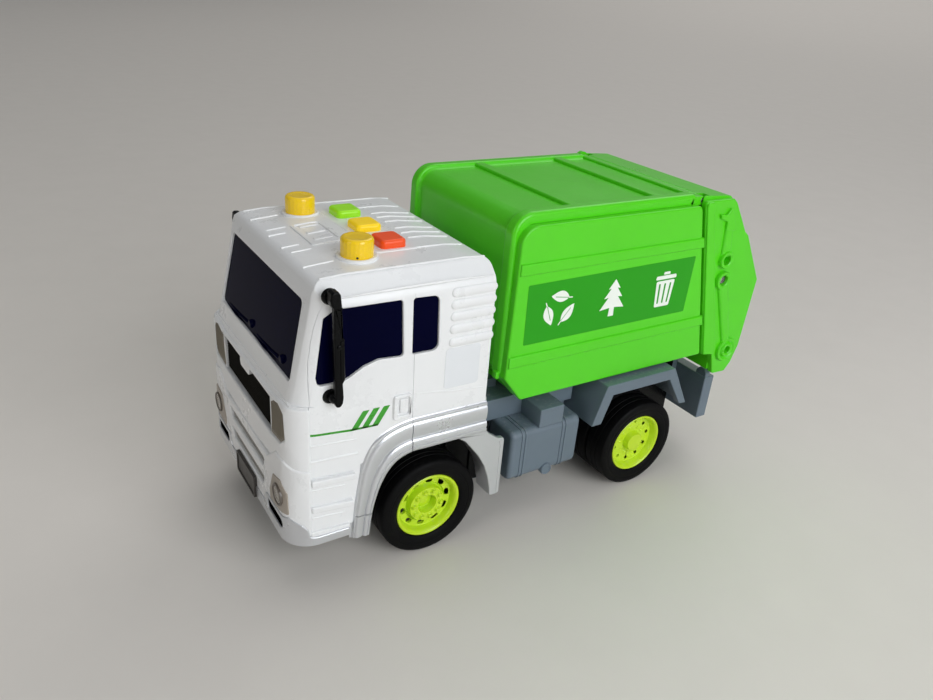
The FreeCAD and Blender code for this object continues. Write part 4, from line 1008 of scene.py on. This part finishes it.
SIDE = [(38.7, 81.8), (40.3, 154.8), (148.3, 154.8), (149.7, 152.4), (171.9, 68.5), (49.0, 68.5)]
for side, s in SIDES:
    fn = bin_side(s)
    bm = slab(rounded(SIDE, [1.2, 8.5, 1.8, 1.4, 1.2, 1.2], 8), -4.3, 0.0, 0.95, 4)
    parts = [bend(bm, fn)]
    for (y0, z0), (y1, z1) in (((40.6, 132.7), (155.6, 138.2)), ((39.5, 87.4), (167.4, 93.2))):
        k = (172.9 - 150.6) / (153.6 - 68.5)
        bm = slab([(y0, z0), (y1 + 0.0, z0), (y1 - (z1 - z0) * k, z1), (y0 + 0.1, z1)], -0.6, 1.0, 0.85, 5)
        parts.append(bend(bm, fn))
    make("bin_side_" + side, join(*parts), G, "container", 40.0)
    # Printed field and its three plain motifs.
    bm = slab(rounded([(46.8, 98.0), (150.4, 98.3), (151.3, 128.7), (46.2, 127.7)], 0.7, 4), -0.05, 0.09, 0.03, 1)
    make("bin_field_" + side, bend(bm, fn), EXTRA["field"], "container")

    def motif(pts, holes=()):
        return bend(slab(pts, 0.02, 0.15, 0.0, holes=holes), fn)

    shapes = []
    # A ring of three leaves.
    for k in range(3):
        a = math.radians(90 + 120 * k)
        c = Vector((65.2 + 6.1 * math.cos(a), 113.8 + 5.7 * math.sin(a)))
        t = Vector((-math.sin(a), math.cos(a))) * s
        r = Vector((math.cos(a), math.sin(a)))
        t = (t + r * 0.16).normalized()
        r = Vector((t.y, -t.x)) if (Vector((t.y, -t.x)).dot(r) > 0) else Vector((-t.y, t.x))
        edge = []
        for i in range(13):
            u = i / 12
            edge.append(c + t * (-5.4 + 10.8 * u) + r * (2.9 * math.sin(math.pi * u ** 0.85) + 0.25))
        back = []
        for i in range(1, 12):
            u = 1 - i / 12
            back.append(c + t * (-5.4 + 10.8 * u) - r * (2.5 * math.sin(math.pi * u ** 0.85) - 0.1))
        vein = [c + t * -7.2 + r * 0.02, c + t * 2.8 + r * 0.18, c + t * 2.8 - r * 0.18, c + t * -7.2 - r * 0.3]
        shapes.append(motif([tuple(p) for p in edge + back], holes=[[tuple(p) for p in vein]]))
        stem = [c + t * -7.4 + r * 0.35, c + t * -5.1 + r * 0.3, c + t * -5.1 - r * 0.3, c + t * -7.4 - r * 0.15]
        shapes.append(motif([tuple(p) for p in stem]))
    # A fir tree of three tiers.
    half = [(0.0, 9.8), (3.7, 4.9), (1.9, 5.2), (5.7, 0.2), (3.0, 0.6), (7.7, -5.6), (1.5, -4.9), (1.7, -9.4)]
    fir = [(98.4 + x, 113.8 + z) for x, z in half] + [(98.4 - x, 113.8 + z) for x, z in reversed(half[1:])]
    shapes.append(motif(fir))
    # A plain waste bin with its lid.
    cx, cz = 132.7, 113.2
    holes = [rounded([(cx + a - 0.55 + b0, cz - 7.4), (cx + a + 0.55 + b0, cz - 7.4), (cx + a * 1.16 + 0.6, cz + 3.4), (cx + a * 1.16 - 0.6, cz + 3.4)], 0.4, 3) for a, b0 in ((-3.2, 0.0), (0.0, 0.0), (3.2, 0.0))]
    shapes.append(motif(rounded([(cx - 5.0, cz - 9.2), (cx + 5.0, cz - 9.2), (cx + 6.3, cz + 4.9), (cx - 6.3, cz + 4.9)], 0.8, 3), holes=holes))
    shapes.append(motif(rounded([(cx - 7.2, cz + 5.7), (cx + 7.2, cz + 5.7), (cx + 6.6, cz + 7.7), (cx - 6.6, cz + 7.7)], 0.6, 3)))
    shapes.append(motif(rounded([(cx - 2.3, cz + 8.2), (cx + 2.3, cz + 8.2), (cx + 2.0, cz + 9.6), (cx - 2.0, cz + 9.6)], 0.5, 3)))
    make("bin_motifs_" + side, join(*shapes), EXTRA["motif"], "container")

# Floor, tipping lugs and tail eyes.
parts = [solid([(50.0, 68.5), (172.5, 68.5), (171.8, 71.0), (50.0, 71.0)], "YZ", -47.0, 47.0, 0.3, 2)]
LUG = [(158.0, 70.0), (170.0, 70.0), (176.0, 65.0), (184.2, 63.6), (184.4, 58.2), (181.8, 55.6), (178.0, 55.6), (168.0, 62.5)]
for s in (1, -1):
    a, b = sorted((s * 13.0, s * 18.4))
    bm = solid(rounded(LUG, [0, 0, 1.0, 2.2, 2.4, 1.6, 1.6, 1.0], 4), "YZ", a, b, 0.45, 2)
    parts.append(boolean(bm, lathe([(-30, 0.0), (-30, 1.5), (30, 1.5), (30, 0.0)], (0, 180.0, 60.0), "X", 32)))
    a, b = sorted((s * 42.8, s * 46.4))
    bm = solid(rounded([(144.0, 154.2), (152.4, 154.2), (154.6, 156.4), (152.4, 158.6), (144.0, 158.6)], [0, 1.6, 2.0, 1.6, 0], 5), "YZ", a, b, 0.2, 2)
    parts.append(boolean(bm, lathe([(-60, 0.0), (-60, 1.46), (60, 1.46), (60, 0.0)], (0, 152.4, 156.4), "X", 32)))
    # Small hook at the foot of the front rail.
    parts.append(cuboid(min(s * 43.0, s * 46.4), max(s * 43.0, s * 46.4), 36.2, 38.4, 80.6, 84.2, 0.6, 3))
make("bin_floor_and_lugs", join(*parts), G, "container")

# ---------------------------------------------------------------- tail hopper
top = [(151.9, 158.2), (152.9, 158.9), (171.6, 157.6), (174.6, 154.9), (186.2, 137.8), (189.2, 135.6), (206.0, 108.4), (205.9, 106.0), (203.6, 106.3), (202.8, 107.8), (186.4, 134.0), (172.0, 153.6), (170.2, 155.2), (152.0, 156.0)]
bm = solid(rounded(top, [0.5, 0.6, 2.4, 3.0, 1.2, 1.2, 0.8, 0.5, 0, 0, 0, 0, 0, 0], 5), "YZ", -47.4, 47.4, 0.0)
for s in (1, -1):
    bm = boolean(bm, cuboid(min(s * 42.3, s * 46.9), max(s * 42.3, s * 46.9), 148.0, 156.4, 153.0, 161.0, 0.0))
parts = [bm]
sill = [(204.3, 77.0), (203.8, 68.0), (200.0, 64.6), (174.0, 68.0), (173.45, 70.1), (199.6, 68.6), (201.2, 77.0)]
parts.append(solid(rounded(sill, [0.8, 0.6, 1.2, 0.4, 0.3, 0, 0.8], 4), "YZ", -47.4, 47.4, 0.0))
parts.append(lathe([(-42.2, 0.0), (-42.2, 1.9), (-41.9, 2.2), (41.9, 2.2), (42.2, 1.9), (42.2, 0.0)], (0, 152.4, 156.4), "X", 40))
parts.append(cuboid(-42.2, 42.2, 152.4, 157.6, 154.8, 156.6, 0.2))
parts.append(lathe([(47.4, 0.0), (47.4, 3.3), (50.1, 3.3), (50.5, 2.9), (50.5, 0.0)], (0, 152.4, 156.4), "X", 40, -1))
BOSSES = ((174.1, 124.1, 3.4), (175.2, 112.5, 3.6), (192.0, 68.0, 4.2))
for s in (1, -1):
    wall = [(s * 24.2, 66.9), (s * 47.3, 66.9), (s * 47.3, 54.9), (s * 27.6, 54.9), (s * 24.2, 58.0)]
    parts.append(solid(rounded(wall, [0, 0, 0, 1.0, 1.0], 3), "XZ", 184.2, 186.0, 0.35))
PLATE_SIDE = [(151.6, 156.9), (171.8, 156.7), (174.6, 154.3), (186.2, 137.8), (189.2, 135.6), (206.0, 108.4), (203.8, 68.0), (200.4, 57.7), (196.5, 52.6), (186.3, 53.0), (182.2, 66.4), (173.6, 68.0), (151.4, 153.6)]
for side, s in SIDES:
    bm = slab(rounded(PLATE_SIDE, [1.2, 2.0, 2.6, 1.2, 1.2, 2.0, 1.6, 1.6, 1.8, 1.6, 1.2, 1.0, 0.0], 5), -3.3, 0.0, 0.75, 4, holes=[[(cy + r * math.cos(2 * math.pi * k / 40), cz + r * math.sin(2 * math.pi * k / 40)) for k in range(40)] for cy, cz, r in BOSSES])
    parts.append(bend(bm, bin_side(s)))
    # The front band stands as proud as the side ribs that meet it across the seam.
    band = [(151.7, 154.0), (151.9, 156.3), (157.0, 156.4), (157.8, 150.0), (183.2, 69.4), (182.4, 66.6), (173.9, 68.1)]
    parts.append(bend(slab(rounded(band, [0, 1.0, 1.2, 3.0, 1.2, 0.8, 0], 4), -0.4, 1.0, 0.7, 4), bin_side(s)))
make("tail_body", join(*parts), G, "tailgate", 36.0, ("tail_hopper",))
for side, s in SIDES:
    fn = bin_side(s)
    parts = []
    # Arrow-shaped clevis over the upper rod.
    parts.append(bend(slab(rounded([(169.4, 152.6), (172.4, 149.2), (176.5, 139.8), (168.7, 140.7), (168.2, 145.4), (163.4, 147.2), (162.0, 149.8), (167.0, 149.0)], [0.6, 0.6, 0.7, 0.7, 1.0, 0.6, 0.6, 1.2], 4), -0.2, 1.5, 0.45, 3), fn))
    for path, w0, w1, high in ((((171.8, 141.0), (173.6, 126.0)), 2.9, 3.5, 1.35), (((177.2, 109.0), (190.0, 73.0)), 3.8, 2.7, 1.5)):
        a, b = path
        steps = 10
        bm = bmesh.new()
        rows = []
        d = (Vector(b) - Vector(a)).normalized()
        nrm = Vector((-d.y, d.x))
        for i in range(steps + 1):
            t = i / steps
            c = Vector(a) + (Vector(b) - Vector(a)) * t
            half = w0 + (w1 - w0) * t
            row = [bm.verts.new((*(c - nrm * half), -0.3))]
            for k in range(13):
                th = math.pi * k / 12
                q = c - nrm * half * math.cos(th)
                row.append(bm.verts.new((q.x, q.y, high * min(1.0, math.sin(th) * 1.5))))
            row.append(bm.verts.new((*(c + nrm * half), -0.3)))
            rows.append(row)
        for u, v in zip(rows, rows[1:]):
            for k in range(len(u) - 1):
                bm.faces.new((u[k], u[k + 1], v[k + 1], v[k]))
            bm.faces.new((u[-1], u[0], v[0], v[-1]))
        bm.faces.new(rows[0])
        bm.faces.new(list(reversed(rows[-1])))
        for v in bm.verts:
            v.co = Vector(fn(*v.co))
        parts.append(tidy(bm))
    ring = [(-3.2, 0.0), (-3.2, 4.0), (-0.3, 4.0), (-0.3, 4.7), (1.7, 4.7), (2.25, 4.35), (2.4, 3.8), (2.3, 3.2), (1.9, 2.7), (-2.0, 2.55), (-2.0, 0.0)]
    parts.append(lathe(ring, (s * 50.5, 174.1, 124.1), "X", 56, s))
    ring = [(-3.2, 0.0), (-3.2, 4.2), (-0.3, 4.2), (-0.3, 5.0), (1.7, 5.0), (2.25, 4.65), (2.4, 4.1), (2.3, 3.4), (1.9, 2.9), (0.2, 2.75), (0.2, 0.0)]
    parts.append(lathe(ring, (s * 50.5, 175.2, 112.5), "X", 56, s))
    ring = [(-3.2, 0.0), (-3.2, 4.8), (-0.3, 4.8), (-0.3, 7.2), (1.1, 7.2), (1.7, 6.8), (1.85, 6.2), (1.7, 5.6), (1.1, 5.1), (0.9, 4.6), (1.3, 4.2), (2.1, 3.9), (2.35, 3.4), (2.2, 2.8), (1.8, 2.3), (-1.6, 2.1), (-1.6, 0.0)]
    parts.append(lathe(ring, (s * 50.5, 192.0, 68.0), "X", 56, s))
    make("tail_relief_" + side, join(*parts), G, "tailgate", 40.0)
    make("tail_screw_" + side, screw((s * 50.9, 175.2, 112.5), (s, 0, 0), 2.35, 0.8), MAT["steel"], "tailgate", 35.0)

# Cross ribs over the back of the hopper.
parts = []
back = [(189.2, 135.6), (206.0, 108.4)]
dy, dz = back[1][0] - back[0][0], back[1][1] - back[0][1]
ln = math.hypot(dy, dz)
ty, tz = dy / ln, dz / ln
ny, nz = -tz, ty
for f in (0.16, 0.42, 0.68):
    c = (back[0][0] + dy * f, back[0][1] + dz * f)
    bm = slab(rounded([(-41.0, -1.8), (41.0, -1.8), (41.0, 1.8), (-41.0, 1.8)], 1.2, 4), -0.3, 0.0, 0.0)
    bm = slab(rounded([(-41.0, -1.8), (41.0, -1.8), (41.0, 1.8), (-41.0, 1.8)], 1.2, 4), -2.4, -1.2, 0.5, 3)
    parts.append(bend(bm, lambda u, v, h, c=c: (u, c[0] + ty * v + ny * (h + 1.3) * 1.0, c[1] + tz * v + nz * (h + 1.3) * 1.0)))
make("tail_back_ribs", join(*parts), G, "tailgate", 40.0)


# ---------------------------------------------------------------- wheels
def tyre(x, y, s, width, grooves, bulge=1.0):
    half = [(-0.2, 16.6), (0.45, 16.95), (0.95, 17.6), (1.3, 18.6), (1.5, 19.8), (1.58, 20.6), (1.45, 20.85), (1.45, 21.1), (1.6, 21.35), (1.58, 22.4), (1.4, 23.4), (1.05, 24.2), (0.5, 24.75), (-0.4, 25.0)]
    half = [(a * bulge if a > 0 else a, r) for a, r in half]
    prof = list(half)
    mid = 0.7 - width / 2
    for g in grooves:
        a = -3.0 - (width - 7.4) * g
        prof += [(a + 0.55, 25.0), (a + 0.4, 24.72), (a - 0.4, 24.72), (a - 0.55, 25.0)]
    prof += [(2 * mid - a + 0.0, r) for a, r in reversed(half)]
    return lathe(prof, (x, y, 25.0), "X", 96, s)


def around(count, turn):
    return [2 * math.pi * k / count + math.radians(turn) for k in range(count)]


def holes_ring(places, ring_r, shape, deep, face):
    """Tools for a ring of holes in a disc that faces +X, each with its long side along the ring."""
    out = []
    for a in places:
        bm = slab(shape, face - deep, face + 3.0, 0.0)
        ca, sa = math.cos(a), math.sin(a)
        bend(bm, lambda u, v, h: (h, ring_r * ca + v * ca - u * sa, ring_r * sa + v * sa + u * ca))
        out.append(bm)
    return out


OVAL = rounded([(-1.85, -1.2), (1.85, -1.2), (1.85, 1.2), (-1.85, 1.2)], 1.15, 6)
ROUND = [(1.0 * math.cos(2 * math.pi * k / 20), 1.0 * math.sin(2 * math.pi * k / 20)) for k in range(20)]


def rim(front, s, x, y):
    if front:
        prof = [(-4.0, 0.0), (-4.05, 1.2), (-4.2, 2.2), (-4.5, 3.1), (-5.0, 3.8), (-5.3, 4.15), (-5.2, 4.4), (-4.8, 4.5), (-1.6, 4.75), (-1.1, 4.95), (-0.9, 5.35), (-0.9, 8.5), (-1.05, 8.9), (-1.5, 9.15), (-4.2, 9.4), (-4.5, 9.6), (-4.55, 9.85), (-4.4, 10.1), (-3.75, 10.35), (-3.6, 10.55), (-3.6, 13.2), (-3.4, 13.6), (-2.8, 13.9), (-1.2, 14.3), (-0.5, 14.6), (0.0, 15.0), (0.35, 15.4), (0.4, 15.8), (0.35, 16.2), (0.1, 16.5), (-0.3, 16.6), (-15.2, 16.6), (-15.2, 14.6), (-8.2, 14.2), (-8.2, 5.5), (-14.5, 5.5), (-14.5, 0.0)]
        shape, ring_r, face, turn = OVAL, 11.75, -3.6, 10.0
    else:
        prof = [(-0.3, 0.0), (-0.3, 4.4), (-0.5, 4.9), (-1.0, 5.2), (-3.3, 5.5), (-3.8, 5.8), (-4.0, 6.4), (-4.0, 13.3), (-3.7, 13.8), (-3.0, 14.1), (-1.2, 14.7), (-0.5, 15.0), (0.0, 15.4), (0.3, 15.8), (0.3, 16.2), (0.05, 16.5), (-0.3, 16.6), (-28.0, 16.6), (-28.0, 14.6), (-9.0, 14.2), (-9.0, 5.5), (-27.5, 5.5), (-27.5, 0.0)]
        shape, ring_r, face, turn = ROUND, 11.4, -4.0, 12.0
    places = around(10, turn)
    bm = lathe(prof, (0, 0, 0), "X", 96)
    for t in holes_ring(places, ring_r, shape, 2.0, face):
        bm = boolean(bm, t)
    # Dark discs at the bottom of the holes: painted shade inside them.
    hole_shade_discs = join(*[bend(slab(shape, face - 2.4, face - 1.7, 0.0), lambda u, v, h, a=a: (h, (ring_r + v) * math.cos(a) - u * math.sin(a), (ring_r + v) * math.sin(a) + u * math.cos(a))) for a in places])
    bits = [bm]
    for a in around(10, -5.0):
        if front:
            r, base = 7.2, -0.9
            nut = [(-0.3, 0.0), (-0.3, 1.5), (0.25, 1.45), (0.4, 1.3), (0.34, 1.16), (0.05, 1.02), (0.7, 0.9), (0.98, 0.68), (1.08, 0.3), (1.1, 0.0)]
        else:
            r, base = 7.9, -4.0
            nut = [(-0.3, 0.0), (-0.3, 1.0), (0.0, 0.96), (0.2, 0.75), (0.3, 0.4), (0.33, 0.0)]
        bits.append(lathe([(base + p, q) for p, q in nut], (0.0, r * math.cos(a), r * math.sin(a)), "X", 18))
    bm = join(*bits)
    for b in (bm, hole_shade_discs):
        for v in b.verts:
            v.co = Vector((x + s * v.co.x, y + v.co.y, 25.0 + v.co.z))
        tidy(b)
    return bm, hole_shade_discs


REAR = 128.7
for side, s in SIDES:
    make("tyre_front_" + side, tyre(s * 53.0, 0.0, s, 15.4, (0.16, 0.5, 0.84)), MAT["tyre_black"], "front_wheels", 30.0, ("front_tyre_" + side,), False)
    make("tyres_rear_" + side, join(tyre(s * 55.6, REAR, s, 13.0, (0.2, 0.8), 0.85), tyre(s * 40.7, REAR, s, 13.0, (0.2, 0.8), 0.85)), MAT["tyre_black"], "rear_wheels", 30.0, ("rear_tyres_" + side,), False)
    bm, hole_shade_discs = rim(True, s, s * 53.0, 0.0)
    make("rim_front_" + side, bm, MAT["rim_lime"], "front_wheels", 34.0, ("front_rim_" + side,))
    make("rim_front_holes_" + side, hole_shade_discs, EXTRA["hole"], "front_wheels")
    bm, hole_shade_discs = rim(False, s, s * 55.6, REAR)
    make("rim_rear_" + side, bm, MAT["rim_lime"], "rear_wheels", 34.0, ("rear_rim_" + side,))
    make("rim_rear_holes_" + side, hole_shade_discs, EXTRA["hole"], "rear_wheels")

# ---------------------------------------------------------------- chassis
C = MAT["chassis_grey"]
bm = cad("chassis")
bevel(bm, 0.45, 3, 28.0, lambda e: e.calc_length() > 0.6)
make("frame_body", bm, C, "root", 36.0, ("chassis",))

for side, s in SIDES:
    # Tank with two pairs of strap lines, rounded all round, and a drain cap.
    bm = solid(rounded([(s * 33.0, 24.0), (s * 54.0, 24.0), (s * 54.0, 52.2), (s * 33.0, 52.2)], [2.6, 4.4, 3.4, 2.6], 7), "XZ", 44.4, 87.0, 0.0)
    bevel(bm, 2.2, 5, 60.0)
    parts = [bm]
    for y0, y1 in ((50.3, 51.3), (52.4, 53.4), (75.1, 76.1), (77.2, 78.2)):
        parts.append(solid([(s * x, z) for x, z in rounded([(33.4, 23.6), (54.4, 23.6), (54.4, 52.6), (33.4, 52.6)], [1.0, 4.6, 3.6, 1.0], 7)], "XZ", y0, y1, 0.3, 2))
    parts.append(lathe([(48.0, 0.0), (48.0, 3.2), (54.6, 3.2), (55.0, 2.9), (55.05, 2.3), (54.7, 2.0), (54.7, 0.0)], (0, 67.7, 25.9), "X", 36, s))
    make("tank_" + side, join(*parts), C, "root", 36.0, ("fuel_tank_" + side,))
    a, b = sorted((s * 37.6, s * 54.0))
    bm = cuboid(a, b, 60.2, 74.7, 51.8, 61.9, 0.55, 3)
    make("step_block_" + side, bm, C, "root", 36.0, ("side_step_" + side,))
    bm = cad("rear_mudguard_" + side)
    bevel(bm, 0.5, 3, 28.0)
    make("mudguard_" + side, bm, C, "root", 36.0, ("rear_mudguard_" + side,))

parts = [cuboid(-45.6, 45.6, 188.0, 195.6, 20.0, 47.5, 0.7, 3)]
for s in (1, -1):
    parts.append(bend(slab(rounded([(s * 26.0, 24.5), (s * 42.0, 24.5), (s * 42.0, 43.0), (s * 26.0, 43.0)], 1.4, 4), -0.3, 0.6, 0.4, 3, holes=[rounded([(s * 27.6, 26.1), (s * 40.4, 26.1), (s * 40.4, 41.4), (s * 27.6, 41.4)], 1.0, 4)]), lambda u, v, h: (u, 195.0 + h, v)))
    parts.append(solid(rounded([(s * 37.4, 45.5), (s * 45.0, 45.5), (s * 45.0, 49.6), (s * 43.0, 52.0), (s * 39.6, 52.0), (s * 37.4, 49.6)], [0, 0, 1.4, 1.8, 1.8, 1.4], 4), "XZ", 188.6, 192.2, 0.5, 3))
make("rear_board", join(*parts), C, "root", 36.0, ("rear_bumper",))

# Black sheets on the walls of the front and rear wheel wells: painted shade, where the real wells are only in shadow.
for side, s in SIDES:
    bm = solid(rounded([(-35.0, 16.2), (43.9, 16.2), (43.9, 61.0), (-35.0, 61.0)], 1.0, 3), "YZ", *sorted((s * 32.4, s * 34.2)), 0.4, 2)
    parts = [bm]
    for k in range(5):
        y = -26.0 + 15.0 * k
        parts.append(solid(rounded([(y - 0.9, 18.0), (y + 0.9, 18.0), (y + 0.9, 49.0), (y - 0.9, 49.0)], 0.5, 3), "YZ", *sorted((s * 33.6, s * 35.2)), 0.4, 2))
    parts.append(solid(rounded([(95.0, 15.6), (183.6, 15.6), (183.6, 50.0), (165.4, 50.0), (165.4, 56.4), (95.0, 56.4)], [1.0, 1.0, 1.0, 0.5, 1.0, 1.0], 3), "YZ", *sorted((s * 21.4, s * 23.85)), 0.3, 2))
    for k in range(5):
        y = 102.0 + 14.0 * k
        parts.append(solid(rounded([(y - 0.9, 18.0), (y + 0.9, 18.0), (y + 0.9, 54.0), (y - 0.9, 54.0)], 0.5, 3), "YZ", *sorted((s * 22.8, s * 24.2)), 0.4, 2))
    make("wheel_well_painted_shade_" + side, join(*parts), K, "root")

# Battery cover with its screw and grip, and screws in the underside.
bm = cad("battery_cover")
bevel(bm, 0.3, 2, 28.0)
parts = [bm]
for k in range(5):
    parts.append(cuboid(-9.0, 9.0, -14.6 + 1.5 * k, -13.9 + 1.5 * k, 13.5, 14.2, 0.2, 2))
make("battery_door", join(*parts), C, "root", 36.0, ("battery_cover",))
parts = []
for x, y, z in ((0.0, -42.5, 13.9), (26.5, -50.0, 15.1), (-26.5, -50.0, 15.1), (26.5, 30.0, 15.1), (-26.5, 30.0, 15.1), (26.5, 84.0, 15.1), (-26.5, 84.0, 15.1), (16.0, 104.0, 15.1), (-16.0, 104.0, 15.1), (16.0, 158.0, 15.1), (-16.0, 158.0, 15.1)):
    parts.append(screw((x, y, z), (0, 0, -1), 2.0, 0.6, 0.5 + 0.37 * x + 0.11 * y))
make("underside_screws", join(*parts), MAT["steel"], "root", 35.0)

for node, name, body in (("tip_pin", "tip_pin_bar", "root"), ("front_axle", "axle_front", "front_wheels"), ("rear_axle", "axle_rear", "rear_wheels"), ("lift_pin", "lift_pin_bar", "tailgate")):
    bm = cad(node)
    bevel(bm, 0.25, 2, 60.0)
    make(name, bm, MAT["steel"], body, 40.0, (node,))


# ---------------------------------------------------------------- floor, and finish for the carried-over nodes
def floor():
    bm = bmesh.new()
    n = 160
    rows = []
    for i in range(n + 1):
        a = i / n
        row = []
        for j in range(n + 1):
            x, y = -20.0 + 40.0 * j / n, -20.0 + 40.0 * a
            row.append(bm.verts.new((x, y, 0.03 * max(0.0, math.hypot(x, y) - 4.0) ** 2)))
        rows.append(row)
    for p, q in zip(rows, rows[1:]):
        for k in range(n):
            bm.faces.new((p[k], p[k + 1], q[k + 1], q[k]))
    me = bpy.data.meshes.new("floor")
    bm.to_mesh(me)
    bm.free()
    o = bpy.data.objects.new("floor", me)
    scene.collection.objects.link(o)
    me.materials.append(plastic("pale_floor", srgb(226, 221, 214), (0.5, 0.62), 0.012, 0.02))


floor()

FINISH = {
    "cab_shell": "cab_white", "cab_interior": "interior", "windscreen": "window_navy", "side_windows_left": "window_navy", "side_windows_right": "window_navy",
    "grille": "grille_dark", "lamp_panel_left": "lamp_clear", "lamp_panel_right": "lamp_clear", "headlamp_left": "lamp_clear", "headlamp_right": "lamp_clear",
    "number_plate": "plate_blank", "front_bumper": "silver_paint", "front_fender_left": "silver_paint", "front_fender_right": "silver_paint",
    "mirror_left": "black_plastic", "mirror_right": "black_plastic", "beacon_left": "beacon_amber", "beacon_right": "beacon_amber",
    "button_green": "button_green", "button_yellow": "button_yellow", "button_red": "button_red",
    "chassis": "chassis_grey", "battery_cover": "chassis_grey", "fuel_tank_left": "chassis_grey", "fuel_tank_right": "chassis_grey",
    "side_step_left": "chassis_grey", "side_step_right": "chassis_grey", "rear_mudguard_left": "chassis_grey", "rear_mudguard_right": "chassis_grey",
    "rear_bumper": "chassis_grey", "tip_pin": "steel", "front_axle": "steel", "rear_axle": "steel", "lift_pin": "steel",
    "front_rim_left": "rim_lime", "front_rim_right": "rim_lime", "rear_rim_left": "rim_lime", "rear_rim_right": "rim_lime",
    "front_tyre_left": "tyre_black", "front_tyre_right": "tyre_black", "rear_tyres_left": "tyre_black", "rear_tyres_right": "tyre_black",
    "refuse_body": "body_green", "tail_hopper": "body_green",
}
for node, key in FINISH.items():
    o = NODES[node]
    if o.hide_render:
        continue
    mat = MAT.get(key) or EXTRA[key]
    o.data.materials.clear()
    o.data.materials.append(mat)
